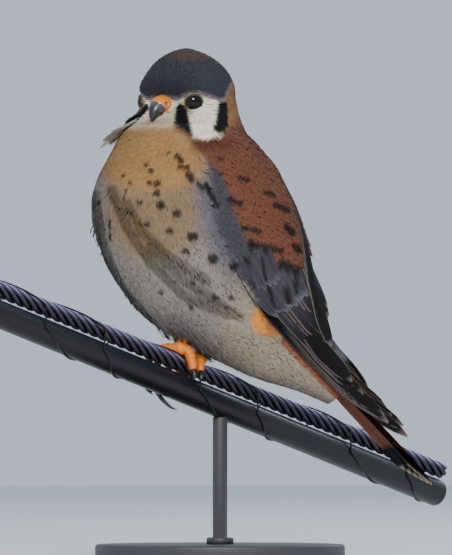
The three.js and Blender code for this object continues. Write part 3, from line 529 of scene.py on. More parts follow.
def body_colours(points):
    """Colours of body and wing plumage by place in the picture, mirrored to the right side."""
    column, row = seen_mirrored(points)
    colours = wash(ground(points, BELLY), BUFF_PALE, blot(column, row, *BREAST_PALE))
    colours = wash(colours, BUFF, 0.9 * blot(column, row, *BREAST_BUFF))
    # Painted shade: a grey wash on the side of the breast that turns away from the lamp.
    shade = 0.3 * fade(column, *BREAST_SHADED_SIDE["column"]) * fade(row, *BREAST_SHADED_SIDE["row"])
    colours = wash(colours, SHADE_GREY, shade)
    beside = column - np.interp(row, WING_BORDER["row"], WING_BORDER["column"])
    # Painted shade: a grey band on the flank along the wing's lower edge.
    side = fade(beside, -28, -4) * fade(row, *WING_SHADE_ROWS["top"]) * fade(row, *WING_SHADE_ROWS["foot"])
    colours = wash(colours, SHADE_GREY, side)
    colours = wash(colours, CREAM, fade(column + 0.4 * row, *CREAM_EDGE))
    colours = wash(colours, ORANGE, blot(column, row, *THIGH_PATCH))
    colours = wash(colours, TAIL_RUFOUS, stroke(column, row, *THIGH_STRIP))
    colours = wash(colours, BLUE_GREY, fade(beside, -5, 8) * fade(row, *WING_FOOT))
    beside = column - np.interp(row, MANTLE_BORDER["row"], MANTLE_BORDER["column"])
    colours = wash(colours, RUFOUS, fade(beside, -4, 5) * fade(row, *MANTLE_FOOT))
    spine = fade(np.abs(points[..., 1]), 17, 10) * fade(column, *RUMP["column"]) * fade(row, *RUMP["row"])
    upper = fade(row - column - RUMP["under"], 2, -16)
    colours = wash(colours, TAIL_RUFOUS, spine * upper)
    rim = fade(row, *MANTLE_RIM["top"]) * fade(row, *MANTLE_RIM["foot"])
    rim = rim * fade(column, *MANTLE_RIM["front"]) * fade(column, *MANTLE_RIM["back"])
    return spotted(wash(colours, RUFOUS_DARK, 0.75 * rim), points)


def round_head(points):
    """The turn round the head from the bill in degrees, the same on both sides, and the height."""
    offset = points - HEAD_MIDDLE
    return np.degrees(np.abs(np.arctan2(offset @ LEFT, offset @ AHEAD))), offset[..., 2]


FACE_STRETCH = 3
FACE_STRIPES = [
    ((34.5, -23), (39, -60), 8.5, 1.0), ((90, -17), (81, -42), 8.5, 1.0),
    ((81, -42), (75, -50), 7.0, 1.0), ((141, -20), (145, -36), 9.0, 0.9),
]
FAR_STRIPE = ((50, -30), (58, -60), 10.0)
LID_BLUSH = ((41, -19), (47, -27), 3.5)
NAPE_EDGE = {"up": [-18, -14, -5.7], "turn": [76, 84, 93]}
CAP_EDGE = {"turn": [0, 30, 44, 60, 70, 84, 92, 100, 110, 130],
            "up": [-2.6, -3.4, -1.2, -0.9, -2.2, -4, -4, -1.5, 2, 5.5]}
CAP_TOP = ((190, 50), (30, 13))


def face_colours(points):
    """Colours of the head by the turn round it from the bill, in degrees, and by height.

    Heights are stretched for the stripes, so that a degree and a height weigh alike in a stroke.
    """
    turn, up = round_head(points)
    tall = up * FACE_STRETCH
    colours = wash(ground(points, WHITE), THROAT, fade(turn, 44, 30) * fade(up, -9, -15))
    edge = turn - np.interp(up, NAPE_EDGE["up"], NAPE_EDGE["turn"])
    colours = wash(colours, NAPE, fade(edge, -4, 4))
    colours = wash(colours, RUFOUS, 0.7 * fade(turn, 118, 140))
    for start, end, half, strength in FACE_STRIPES:
        colours = wash(colours, STRIPE, strength * stroke(turn, tall, start, end, half))
    far = (points - HEAD_MIDDLE) @ LEFT < 0
    colours = wash(colours, STRIPE, far * stroke(turn, tall, *FAR_STRIPE))
    colours = wash(colours, LID_RED, 0.6 * stroke(turn, tall, *LID_BLUSH))
    low = np.interp(turn, CAP_EDGE["turn"], CAP_EDGE["up"])
    colours = wash(colours, SLATE_BROW, fade(up - low, -1.0, 0.4))
    colours = wash(colours, SLATE, fade(up - low, 0.6, 2.8))
    return wash(colours, CAP_BROWN, 0.4 * blot(*seen(points), *CAP_TOP))


FACE_FOOT = {"turn": [0, 30, 48, 62, 76, 90, 110, 180],
             "up": [-15.5, -16, -21.5, -22.2, -20, -16, -12, -10]}
FACE_SOFT = {"turn": [0, 36, 50, 80, 110], "soft": [4.0, 3.0, 1.1, 1.3, 3.0]}


def plumage_colours(points):
    """The face above, the body below: the edge between is soft at the throat, firmer on the cheek."""
    turn, up = round_head(points)
    foot = np.interp(turn, FACE_FOOT["turn"], FACE_FOOT["up"])
    soft = np.interp(turn, FACE_SOFT["turn"], FACE_SOFT["soft"])
    share = fade(up - foot, -soft, soft)[..., None]
    return body_colours(points) * (1 - share) + face_colours(points) * share


# %% [markdown]
# ## Feather finish
# Seen close, a feather is combed: fine barbs run from the shaft to the edge. Each vane carries a
# map of its own, across and along, and the finish draws the barbs in it as slanted lines, both as
# a faint change of colour and as a bump. The base colour comes with the mesh, so skin and feathers
# share their markings.

# %% Plumage and skin materials
BARBS = 70.0
BARB_SLANT = 60.0


def combed(tree):
    """Barb lines of a vane: slanted from its middle line, broken by a little noise."""
    own = node(tree, "ShaderNodeUVMap", {"uv_map": "Vane"})
    across = node(tree, "ShaderNodeSeparateXYZ", {}, own)
    along = Flow(tree, across.socket.node.outputs[1])
    aside = (across - 0.5).math("ABSOLUTE")
    place = node(tree, "ShaderNodeCombineXYZ", {}, across * 9.0, along * 2.0, 0.0)
    grain = node(tree, "ShaderNodeTexNoise", {"noise_dimensions": "2D"}, Vector=place, Scale=1.6, Detail=2.0)
    lines = ((along * BARBS - aside * BARB_SLANT + grain * 5.0).math("SINE") + 1.0) * 0.5
    return lines, grain


def plumage_build(tree):
    """The marking, a little lighter and darker by barb, by patch and by grain."""
    lines, grain = combed(tree)
    shade = 0.79 + lines * 0.1 + grain_of(tree, 420.0, 3.0) * 0.24 + grain * 0.1
    bump = bumped(tree, 0.2, 0.0002, lines + grain)
    return {"Base Color": shaded(tree, marking(tree), shade), "Normal": bump}


def skin_build(tree):
    """The marking under a soft, uneven down."""
    down = grain_of(tree, 900.0, 4.0)
    colour = shaded(tree, marking(tree), 0.6 + down * 0.4)
    return {"Base Color": colour, "Normal": bumped(tree, 0.6, 0.0005, down)}


PLUMAGE = material("plumage", plumage_build, Roughness=0.85, Specular_IOR_Level=0.12)
DOWN = material("down", skin_build, Roughness=0.95, Specular_IOR_Level=0.1)

# %% [markdown]
# ## The skin
# Under the feathers lies one skin from the crown to the root of the tail, with no seam at the neck.
# It sits inside the construction by the depth of the coat, thinner on the face than on the breast,
# and shows only as a darker ground where the feathers part.

# %% Skin
COAT_FACE = 1.1
COAT_BODY = 2.4
CROWN_GAP = 0.03
SKIN_ROWS = (26, 150)
SKIN_COLUMNS = 160


def coat_depth(place):
    """Depth of the coat over the skin: thin on the head, full from the neck down."""
    return COAT_FACE + (COAT_BODY - COAT_FACE) * fade(place, 2.2, 4.5) * fade(place, 14.2, 12.5)


def add_skin():
    """Rings of the body sunk by the depth of the coat, closed at the crown and at the tail."""
    dome = np.linspace(CROWN_GAP, 1, SKIN_ROWS[0])[:-1]
    place = np.concatenate([dome, np.linspace(1, TAIL_END, SKIN_ROWS[1])])[:, None]
    angle = all_round(SKIN_COLUMNS)[None, :]
    rings = body_point(place, angle, -coat_depth(place))
    points, faces = close_rings(rings)
    colours = opaque(plumage_colours(points))
    patch = np.stack(np.broadcast_arrays(place / TAIL_END, angle / (2 * math.pi)), -1).reshape(-1, 2)
    patch = np.concatenate([patch, [[0.0, 0.5], [1.0, 0.5]]]) * 0.98 + 0.01
    stands_for = ("head", "neck", "torso")
    make("body_skin", points, faces, DOWN, "body_feathers", colours, {"OFBake": patch}, stands_for)


add_skin()

# %% [markdown]
# ## One vane, many times
# A feather here is a thin closed blade: rings of points that follow its edge on top and below. The
# same blade serves for a lock of down with three columns and for a broad covert with seven. Thousands
# of them are laid at once: their points are first placed along and across a flat strip, then carried
# onto the surface by its own two ways, so that every blade hugs the body it grows on. A fringe
# shortens every other column at the tip, as the barbs part there.

# %% Blades and how they are laid
PATCH = 0.003
VANE_SHIFTS = 40
BLADE_ROOT = 0.45


def blade(over, rows):
    """A closed strip: shares along, places across (-1 to 1), face (1 over, -1 under) and faces."""
    over = np.array(over, float)
    columns = len(over)
    across = np.concatenate([over, over[-2:0:-1]])
    face = np.concatenate([[0], np.ones(columns - 2), [0], -np.ones(columns - 2)])
    around = len(across)
    share = np.repeat(np.linspace(0, 1, rows), around)
    column = np.arange(columns)
    under = (around - column) % around
    under[-1] = columns - 1
    caps = [(0, 1, under[1]), (columns - 2, columns - 1, under[columns - 2])]
    quads = [(j, j + 1, under[j + 1], under[j]) for j in range(1, columns - 2)]
    last = (rows - 1) * around
    caps = np.array(caps)
    triangles = np.concatenate([caps[:, ::-1], caps + last])
    blocks = [tile(rows, around), triangles]
    if quads:
        quads = np.array(quads)
        blocks.append(np.concatenate([quads[:, ::-1], quads + last]))
    ring = np.repeat(np.arange(rows), around)
    rim = np.tile(1 * (across == -1) + 2 * (across == 1), rows) + 4 * (ring == 0) + 8 * (ring == rows - 1)
    return {"share": share, "across": np.tile(across, rows), "face": np.tile(face, rows),
            "rim": rim, "faces": blocks, "columns": columns}


LOCK = blade([-1, 0, 1], 4)
SOFT = blade(np.linspace(-1, 1, 5), 5)
BROAD = blade(np.linspace(-1, 1, 7), 7)


def leaf(share, root, point):
    """Width along a blade: it opens from its root share, and closes round over its last part."""
    swell = root + (1 - root) * fade(share, 0, 0.45)
    close = np.sqrt(np.clip(1 - (np.maximum(share - 1 + point, 0) / point) ** 2, 0, 1))
    return swell * np.maximum(close, 0.12)


def steps_of(surface, u, v):
    """Millimetres that a surface runs for one unit of each of its ways, at given places."""
    small = 1e-3
    along = surface(u + small, v, 0.0) - surface(u - small, v, 0.0)
    across = surface(u, v + small, 0.0) - surface(u, v - small, 0.0)
    return (np.maximum(np.linalg.norm(way, axis=-1) / (2 * small), 0.5) for way in (along, across))


def lay(surface, kind, roots, look):
    """Points of many blades on a surface.

    A point's strip place is its share times the length and its side times the half width. That is
    turned by the blade's heading and divided by the surface's own steps, and added to the root.
    Its lift climbs from the root's to the tip's with a power of the share, plus an arch across and
    half the thickness.
    """
    share, across, face = kind["share"], kind["across"], kind["face"]
    column = {key: np.asarray(value)[..., None] for key, value in look.items()}
    step_u, step_v = (step[:, None] for step in steps_of(surface, roots[:, 0], roots[:, 1]))
    width = leaf(share, BLADE_ROOT, look["point"])
    flat = 1 - across**2
    reach = np.where(np.abs(across) < 0.99, 1.0, 0.93) * np.ones_like(share)
    if "fringe" in look:
        notch = np.abs(((across + 1) * (kind["columns"] - 1) / 2 + 1) % 2 - 1)
        reach = 1 - column["fringe"] * (1 - notch) * share**3 - 0.12 * (across**2) * share**2
    run = column["length"] * share * reach
    aside = 0.5 * column["width"] * width * across + column["bend"] * column["length"] * share**2
    cos, sin = np.cos(column["heading"]), np.sin(column["heading"])
    u = roots[:, :1] + (run * cos - aside * sin) / step_u
    v = roots[:, 1:] + (run * sin + aside * cos) / step_v
    climb = share ** look.get("climb", 0.8)
    lift = column["low"] + (column["high"] - column["low"]) * climb
    lift = lift + column["arch"] * flat * width + 0.5 * column["thick"] * face * flat * (1 - 0.5 * share)
    return surface(u, v, lift)


def herd(points, kind):
    """Faces of many like blades whose points follow one another."""
    count, each = points.shape[:2]
    start = (np.arange(count) * each)[:, None, None]
    faces = [(block[None] + start).reshape(-1, block.shape[1]) for block in kind["faces"]]
    return points.reshape(-1, 3), faces


def own_maps(kind, patches, chance):
    """A blade's own map, and its patch of the shared map at the place of its root.

    The own map is moved on by whole steps from blade to blade, so that no two have the same grain.
    """
    share, across = kind["share"], kind["across"]
    own = np.stack([0.5 + 0.5 * across, share], -1)[None] + np.zeros((len(patches), 1, 1))
    own[..., 0] += 1e-3
    own[..., 1] += np.floor(chance * VANE_SHIFTS)[:, None]
    spread = np.stack([share - 0.5, 0.5 * across], -1)[None] * PATCH
    return {"Vane": own.reshape(-1, 2), "OFBake": (patches[:, None] + spread).reshape(-1, 2)}


def make_blades(name, points, kind, slot, colours, patches, chance, stands_for=()):
    """One object out of many like blades, with their maps and their sharp rims."""
    maps = own_maps(kind, patches, chance)
    rims = np.tile(kind["rim"], len(chance))
    make(name, *herd(points, kind), PLUMAGE, slot, colours, maps, stands_for, rims)


# %% [markdown]
# ## Where feathers grow
# Feathers grow in rows, each row set half a step aside from the last, like tiles. The rows are
# spaced by the true distance over the surface, and every root is then nudged a little, because a
# perfect grid would show as a pattern.

# %% Rows of roots
def rows_on(surface, start, end, limits, spacing, rng, wrap=False):
    """Roots (u, v) in staggered rows from start to end, as far apart as spacing in millimetres."""
    u = np.linspace(start, end, 400)
    middle = np.array([0.5 * sum(limits(value)) for value in u])
    run, _ = steps_of(surface, u, middle)
    length = np.concatenate([[0], np.cumsum(0.5 * (run[1:] + run[:-1]) * np.diff(u))])
    count = max(int(length[-1] / spacing[0]), 2)
    roots = []
    for number, row in enumerate(np.interp(np.linspace(0, length[-1], count), length, u)):
        low, high = limits(row)
        v = np.linspace(low, high, 200)
        _, run = steps_of(surface, np.full(200, row), v)
        around = np.concatenate([[0], np.cumsum(0.5 * (run[1:] + run[:-1]) * np.diff(v))])
        each = max(int(around[-1] / spacing[1]), 1)
        places = (np.arange(each) + (0.5 if number % 2 else 0.0) + 0.25) / each
        places = np.clip(places + rng.normal(0, 0.22 / each, each), 0, None if wrap else 1)
        line = np.interp(places * around[-1] % around[-1] if wrap else places * around[-1], around, v)
        step = spacing[0] / max(np.interp(row, u, np.gradient(length, u)), 1e-6)
        roots.append(np.stack([row + step * rng.normal(0, 0.22, each), line], -1))
    return np.concatenate(roots)


WAVE_COUNT = 6


def drift(u, v, seed, waves, size):
    """A smooth wandering value over a surface: a few sine waves of chosen fineness."""
    rng = np.random.default_rng(seed)
    total = np.zeros_like(u)
    for _ in range(WAVE_COUNT):
        wave_u, wave_v = rng.normal(0, waves[0]), np.round(rng.normal(0, waves[1]))
        total = total + np.sin(wave_u * u + wave_v * v + rng.uniform(0, 2 * math.pi))
    return size * total / WAVE_COUNT**0.5


def full_turn(_):
    """Limits all the way round."""
    return -math.pi, math.pi


def body_patches(roots):
    """Where roots fall on an unwrap of the skin: down the body, and round it."""
    return np.stack([roots[:, 0] / TAIL_END, (roots[:, 1] / (2 * math.pi)) % 1], -1) * 0.98 + 0.01


# %% [markdown]
# ## Contour feathers of the body
# The breast, back and belly wear small rounded feathers with loose tips. They are laid as broad
# fringed blades in rows down the body. In cold weather the bird fluffs them, so they stand a little
# off and part into soft folds; a wandering value moves their lift and heading together, which gives
# the folds.

# %% Body coat
GROOVES = [
    [(112, 190), (128, 228), (150, 262), (185, 296), (228, 314)],
    [(150, 248), (185, 281), (238, 316)],
    [(96, 196), (101, 240), (118, 285), (150, 322)],
    [(128, 205), (142, 232), (170, 258), (206, 280)],
]
GROOVE_HALF = 5.0
GROOVE_DEPTH = 1.1
GROOVE_SHADE = 0.5


def groove(points):
    """How deep a place lies in the grooves between the folds of the breast: 1 at their middles."""
    column, row = seen(points)
    deepest = np.zeros_like(column)
    for line in GROOVES:
        for start, end in zip(line[:-1], line[1:]):
            deepest = np.maximum(deepest, stroke(column, row, start, end, GROOVE_HALF))
    return deepest * fade(points[..., 1], 10, -2)


def body_lift(place, angle):
    """How far the coat swells or sinks in soft folds, in millimetres."""
    swell = drift(place, angle, 5, (2.2, 2.6), 0.3) * fade(place, 3.5, 6)
    return swell - GROOVE_DEPTH * groove(body_point(place, angle, 0.0))


STRAY_MARK = 0.3


def paint_blades(points, kind, chance, contrast, tip):
    """The plumage's colours at every point, with painted shade in the grooves, and varied a little by blade.

    Each blade takes its colours from a place a little aside of its own, so marks end in hairs.
    """
    aside = np.stack([np.cos(2.4e3 * chance), np.sin(1.7e3 * chance), np.cos(3.1e3 * chance)], -1)
    points = points + STRAY_MARK * aside[:, None]
    # Painted shade: colours darken in the grooves between the folds.
    shade = 1 - GROOVE_SHADE * groove(points)
    light = 1 + contrast * (chance - 0.5)[:, None] + tip * (kind["share"][None] - 0.5)
    return opaque(plumage_colours(points) * (shade * light)[..., None])


def add_coat(name, kind, start, end, limits, spacing, size, seed, look):
    """A piece of the coat between two places down the body, of one kind of blade.

    Size is the length and width of a blade. Look has its lift at root and tip, its arch, the
    shape of its point, and how much length, heading and colour vary by chance.
    """
    rng = np.random.default_rng(seed)
    roots = rows_on(body_point, start, end, limits, spacing, rng, wrap=limits is full_turn)
    count = len(roots)
    fold = body_lift(*roots.T)
    free = rng.uniform(0, 1, count) < look["free"]
    blades = {
        "length": size[0] * rng.uniform(1 - look["vary"], 1 + look["vary"], count),
        "width": size[1] * rng.uniform(0.85, 1.15, count),
        "heading": drift(*roots.T, 9, (1.2, 1.6), 0.12) + rng.normal(0, look["stray"], count),
        "bend": rng.normal(0, 0.5 * look["stray"], count),
        "low": fold + look["low"],
        "high": fold + look["high"] + rng.normal(0, 0.05, count) + free * rng.uniform(0.2, 0.9, count),
        "arch": look["arch"],
        "thick": 0.11,
        "fringe": rng.uniform(0.04, 0.14, count) * (kind is not LOCK),
        "point": look["point"],
    }
    points = lay(body_point, kind, roots, blades)
    chance = rng.uniform(0, 1, count)
    colours = paint_blades(points, kind, chance, look["contrast"], look["tip"])
    make_blades(name, points, kind, "body_feathers", colours, body_patches(roots), chance)


UNDER = {"low": -2.2, "high": -0.75, "arch": 0.25, "point": 0.6, "vary": 0.12, "stray": 0.05,
         "contrast": 0.08, "tip": 0.06, "free": 0.0}
OVER = {"low": -0.7, "high": 0.0, "arch": 0.05, "point": 0.5, "vary": 0.22, "stray": 0.06,
        "contrast": 0.26, "tip": 0.04, "free": 0.0}
LOOSE = {**OVER, "free": 0.006, "stray": 0.09, "vary": 0.3}
BACK_HALF = (math.radians(100), math.radians(260))
FRONT_HALF = (math.radians(-100), math.radians(100))


def front(_):
    """Limits of the front of a section."""
    return FRONT_HALF


def back(_):
    """Limits of the back of a section."""
    return BACK_HALF


add_coat("coat_neck_feathers", SOFT, 2.7, 4.6, full_turn, (2.5, 2.6), (7.0, 4.6), 21, UNDER)
add_coat("coat_breast_feathers", SOFT, 4.6, 9.6, front, (3.2, 3.2), (9.5, 5.8), 22, UNDER)
add_coat("coat_back_feathers", BROAD, 4.6, 9.6, back, (3.4, 3.4), (9.5, 6.6), 23, {**UNDER, "high": -0.7})
add_coat("coat_belly_feathers", SOFT, 9.6, 13.6, full_turn, (3.0, 2.8), (9.5, 5.2), 24, UNDER)
add_coat("coat_neck_locks", LOCK, 2.6, 4.6, full_turn, (1.2, 1.0), (5.0, 1.45), 31, OVER)
add_coat("coat_breast_locks", LOCK, 4.6, 7.4, front, (1.3, 1.05), (6.5, 1.6), 32, OVER)
add_coat("coat_flank_locks", LOCK, 7.4, 10.4, front, (1.4, 1.1), (7.5, 1.65), 33, LOOSE)
add_coat("coat_back_locks", LOCK, 4.6, 10.4, back, (1.6, 1.3), (6.5, 1.9), 34, OVER)
add_coat("coat_vent_locks", LOCK, 10.4, 13.75, full_turn, (1.4, 1.15), (8.0, 1.7), 35, LOOSE)

# %% [markdown]
# ## Feathers of the head
# On the head the feathers are tiny and lie back from the bill, over the crown and down the cheeks.
# The body's two ways meet in a point on the crown, so these locks are laid another way: each has a
# flat strip of its own, bent down by the roundness of the head, and turned along the lie. The face
# keeps the smallest ones, and none grow on the bill or the bare ring of the eye.

# %% Head coat
HEAD_ROUND = 23.0
EYE_PLACE = (13.3, 16.7, -4.7)
EYE_RADIUS = 5.2
EYE_DEPTH = 4.1
EYE_LOOK = (0.71, 0.68, -0.19)
BILL_BASE = (19.0, 0.0, -6.6)
BARE_AT_BILL = 5.6
BARE_AT_EYE = 4.9


def eye_frame(side):
    """Middle, outward, forward and upward ways of an eye, from its place and its look."""
    outward = unit(EYE_LOOK[0] * AHEAD + side * EYE_LOOK[1] * LEFT + EYE_LOOK[2] * UP)
    front = head_point(EYE_PLACE[0], side * EYE_PLACE[1], EYE_PLACE[2])
    upward = unit(UP - outward * (UP @ outward))
    forward = np.cross(upward, outward) * side
    return front - outward * EYE_DEPTH, outward, forward, upward


def frames_on_head(roots):
    """Points, normals and lie of the head's feathers: back from the bill, then down the neck."""
    place, angle = roots.T
    small = 0.01
    points = body_point(place, angle, 0.0)
    down = body_point(place + small, angle, 0.0) - body_point(place - small, angle, 0.0)
    around = body_point(place, angle + small, 0.0) - body_point(place, angle - small, 0.0)
    normal = unit(np.cross(around, down))
    offset = points - head_point(*BILL_BASE)
    back = unit(offset)
    sink = fade(offset @ -AHEAD, 12, 40)[:, None]
    lie = back * (1 - sink) + (-AHEAD * 0.35 - UP) * sink
    lie = unit(lie - normal * (lie * normal).sum(-1, keepdims=True))
    return points, normal, lie


def add_head_coat(name, start, end, spacing, size, seed):
    """Locks on flat strips of their own, bent down by the run squared over twice the head's radius."""
    rng = np.random.default_rng(seed)
    roots = rows_on(body_point, start, end, full_turn, spacing, rng, wrap=True)
    points, normal, lie = frames_on_head(roots)
    keep = np.linalg.norm(points - head_point(*BILL_BASE), axis=-1) > BARE_AT_BILL
    for side in (-1, 1):
        middle, outward, _, _ = eye_frame(side)
        off = points - middle
        beside = np.linalg.norm(off - outward * (off @ outward)[:, None], axis=-1)
        keep &= (beside > BARE_AT_EYE) | (off @ outward < 0)
    roots, points, normal, lie = roots[keep], points[keep], normal[keep], lie[keep]
    count = len(points)
    face = fade(np.linalg.norm(points - head_point(*BILL_BASE), axis=-1), 34, 9)
    length = size[0] * (1 - 0.5 * face) * rng.uniform(0.8, 1.2, count)
    width = size[1] * (1 - 0.3 * face) * rng.uniform(0.8, 1.25, count)
    turn = rng.normal(0, 0.06, count)[:, None]
    across = np.cross(lie, normal)
    ahead = lie * np.cos(turn) + across * np.sin(turn)
    aside = across * np.cos(turn) - lie * np.sin(turn)
    share, side, up = LOCK["share"], LOCK["across"], LOCK["face"]
    run = length[:, None] * share
    wide = 0.5 * width[:, None] * leaf(share, 0.5, 0.7) * side
    low = -COAT_FACE + 0.05
    high = rng.normal(-0.1, 0.06, count)
    lift = low + (high[:, None] - low) * share**0.7 - run**2 / (2 * HEAD_ROUND)
    lift = lift + 0.5 * 0.12 * up * (1 - side**2) * (1 - 0.5 * share)
    laid = points[:, None] + ahead[:, None] * run[..., None] + aside[:, None] * wide[..., None]
    laid = laid + normal[:, None] * lift[..., None]
    chance = rng.uniform(0, 1, count)
    colours = paint_blades(laid, LOCK, chance, 0.12, 0.04)
    make_blades(name, laid, LOCK, "crown_feathers", colours, body_patches(roots), chance)


add_head_coat("coat_crown_locks", 0.02, 1.0, spacing=(0.95, 0.85), size=(3.9, 0.85), seed=41)
add_head_coat("coat_face_locks", 1.0, 2.85, spacing=(0.95, 0.85), size=(4.4, 0.85), seed=42)

# %% [markdown]
# ## Loose plumes
# Cold wind has lifted some plumes at the edge of the bird: a dark and a white tuft under the far
# cheek, a few wisps at the breast's side, and a plume over the thighs. Each is a small bunch of
# long locks that leave the coat at a low angle.

# %% Tufts and wisps
TUFTS = {
    "cheek_dark": {"place": (1.7, 2.5), "angle": (40, 56), "count": 90, "length": 7.0, "rise": 0.36,
                   "slot": "crown_feathers", "paint": STRIPE},
    "cheek_white": {"place": (2.2, 2.8), "angle": (26, 46), "count": 190, "length": 10.0, "rise": 0.6,
                    "slot": "neck_feathers", "paint": WHITE},
    "breast_wisp": {"place": (5.6, 6.5), "angle": (28, 46), "count": 70, "length": 12, "rise": 0.42,
                    "slot": "body_feathers"},
    "thigh_plume": {"place": (9.2, 10.6), "angle": (-34, 30), "count": 170, "length": 11, "rise": 0.24,
                    "slot": "body_feathers"},
    "flank_wisp": {"place": (7.8, 8.6), "angle": (20, 40), "count": 50, "length": 9, "rise": 0.25,
                   "slot": "body_feathers"},
}
TUFT_WASH = 0.8


def add_tuft(name, tuft, seed):
    """A bunch of locks whose lift climbs with the square of the share, so they leave the coat gently."""
    rng = np.random.default_rng(seed)
    count = tuft["count"]
    roots = np.stack([rng.uniform(*tuft["place"], count), np.radians(rng.uniform(*tuft["angle"], count))], -1)
    length = tuft["length"] * rng.uniform(0.7, 1.15, count)
    look = {
        "length": length,
        "width": 1.0 * rng.uniform(0.8, 1.2, count),
        "heading": rng.normal(0, 0.14, count),
        "bend": rng.normal(0, 0.05, count),
        "low": -1.0,
        "high": length * tuft["rise"] * rng.uniform(0.3, 1.1, count),
        "arch": 0.05,
        "thick": 0.14,
        "point": 0.7,
        "climb": 1.8,
    }
    points = lay(body_point, LOCK, roots, look)
    chance = rng.uniform(0, 1, count)
    root = body_point(roots[:, :1], roots[:, 1:], 0.0) + 0.0 * points
    colours = paint_blades(root, LOCK, chance, 0.3, 0.0)
    if "paint" in tuft:
        colours = opaque(wash(colours[:, :3], tuft["paint"], np.full(len(colours), TUFT_WASH)))
    make_blades(f"coat_{name}", points, LOCK, tuft["slot"], colours, body_patches(roots), chance)


for number, (name, tuft) in enumerate(TUFTS.items()):
    add_tuft(name, tuft, 50 + number)

# %% [markdown]
# ## The sheet of the wing
# A folded wing lies on the flank like a long leaf. Its sheet is measured along the wing, from the
# bend to the tip, and up from its lower edge in millimetres. A sleeve of oval sections round the
# flank carries it, wide at the bend and narrow at the tips.

# %% Wing sheet
WING_START = np.array([-24.0, 0.0, 196.0])
WING_TIPS = {-1: np.array([80.0, 0.0, 63.0]), 1: np.array([95.0, 0.0, 57.5])}
SLEEVE = {
    "along": [0.0, 0.15, 0.3, 0.45, 0.6, 0.75, 0.9, 1.0],
    "half": [36.5, 39.0, 39.0, 36.6, 31.5, 23.5, 15.5, 11.0],
    "deep": [34.0, 38.0, 34.0, 27.0, 18.5, 13.0, 12.0, 10.0],
}
LOWER_EDGE = {
    "along": [0.0, 0.1, 0.2, 0.3, 0.4, 0.5, 0.6, 0.7, 0.8, 0.9, 1.0],
    "angle": [10, 3, -12, -20, -30, -42, -49, -53, -44, -20, 2],
}


def sleeve(key, along):
    """Half width or depth of the sleeve at a share of the wing's length."""
    places = np.array(SLEEVE["along"])
    low = np.clip(np.searchsorted(places, along) - 1, 0, len(places) - 2)
    return through(SLEEVE[key], low + (along - places[low]) / (places[low + 1] - places[low]))


def wing_sheet(side):
    """The wing's surface: along it, up from its lower edge in millimetres, and lifted off it."""
    line = WING_TIPS[side] - WING_START
    rise = np.array([-line[2], 0.0, line[0]]) / np.linalg.norm(line)

    def surface(along, over, lift):
        along, over, lift = np.broadcast_arrays(along, over, lift)
        half, deep = sleeve("half", along), sleeve("deep", along)
        edge = np.interp(along, LOWER_EDGE["along"], LOWER_EDGE["angle"])
        angle = np.radians(edge) + 2 * over / (half + deep)
        point = WING_START + along[..., None] * line + rise * ((deep + lift) * np.sin(angle))[..., None]
        point[..., 1] += side * (half + lift) * np.cos(angle)
        return point

    return surface


print("left wing", round(np.linalg.norm(WING_TIPS[-1] - WING_START), 1), "mm long")

# %% [markdown]
# ## Vanes of wing and tail
# Quills differ from body feathers: they are long, each lies along a line of its own, and a shaft
# runs down them nearer the leading edge. The vane is the same blade with columns set close beside
# the shaft and the edges, so that the shaft can stand up as a ridge and the pale edge stay thin.

# %% Quills
QUILL = blade([-1, -0.84, -0.45, -0.1, 0, 0.1, 0.45, 0.84, 1], 20)
COVERT = blade([-1, -0.82, -0.4, -0.08, 0.08, 0.4, 0.82, 1], 11)


def quills(surface, kind, path, look):
    """Points of vanes along paths: path(share) gives each middle line in the surface's two ways.

    At every share the line's direction is measured in millimetres, and the place across is laid
    square to it. The lift follows the look's rise from root to tip, with an arch across the vane
    and a ridge on the shaft.
    """
    share, across, face = kind["share"], kind["across"], kind["face"]
    small = 0.01
    u, v = path(share)
    u_on, v_on = path(share + small)
    step_u, step_v = steps_of(surface, u, v)
    way = unit(np.stack([(u_on - u) * step_u, (v_on - v) * step_v], -1))
    column = {key: np.asarray(value)[..., None] for key, value in look.items()}
    width = leaf(share, look["root_share"], look["point"])
    lead = column["lead"]
    aside = 0.5 * column["width"] * width * (across + lead * (1 - across**2))
    u = u - aside * way[..., 1] / step_u
    v = v + aside * way[..., 0] / step_v
    lift = column["low"] + (column["high"] - column["low"]) * np.minimum(share * 1.5, 1) ** 0.8
    shaft = np.exp(-((across / 0.08) ** 2)) * (face > 0) * (1 - share)
    lift = lift + column["arch"] * (1 - across**2) * width + column["roll"] * across * width
    lift = lift + 0.5 * column["thick"] * face * (1 - across**2) * (1 - 0.5 * share) + 0.25 * shaft
    return surface(u, v, lift)


def mixed(pair, share):
    """Values between the two of a pair, for each share."""
    return pair[0] + (pair[1] - pair[0]) * share


# %% [markdown]
# ## The tiers of the wing
# The wing is built as the bird grows it. Long primaries come first, then secondaries on top of
# them, then three tiers of coverts like slates on a roof, and the scapulars of the shoulder over
# all. In each tier the first number of a pair belongs to the vane nearest the lower edge.

# %% Wing tiers
TIERS = {
    "primaries": {"kind": QUILL, "count": 10, "start": (0.40, 0.42), "from": (2.5, 24), "end": (0.985, 0.77),
                  "to": (4.5, 12), "width": (8.5, 9), "low": (-3.0, -2.6), "high": (-1.4, -0.9), "point": 0.3,
                  "lead": 0.2},
    "secondaries": {"kind": QUILL, "count": 10, "start": (0.34, 0.3), "from": (9, 44), "end": (0.7, 0.6),
                    "to": (15, 38), "width": (9, 10.5), "low": (-2.6, -2.2), "high": (-0.9, -0.5),
                    "point": 0.22, "lead": 0.15},
    "greater_coverts": {"kind": COVERT, "count": 8, "start": (0.3, 0.28), "from": (3, 24),
                        "end": (0.525, 0.52), "to": (7, 30), "width": (8, 9), "low": (-2.4, -2.2),
                        "high": (-0.3, -0.2), "point": 0.34, "lead": 0.1},
    "median_coverts": {"kind": COVERT, "count": 6, "start": (0.2, 0.2), "from": (2, 15), "end": (0.43, 0.45),
                       "to": (3.5, 19), "width": (7.5, 8.5), "low": (-2.4, -2.4), "high": (-0.1, 0.0),
                       "point": 0.4, "lead": 0.0},
}
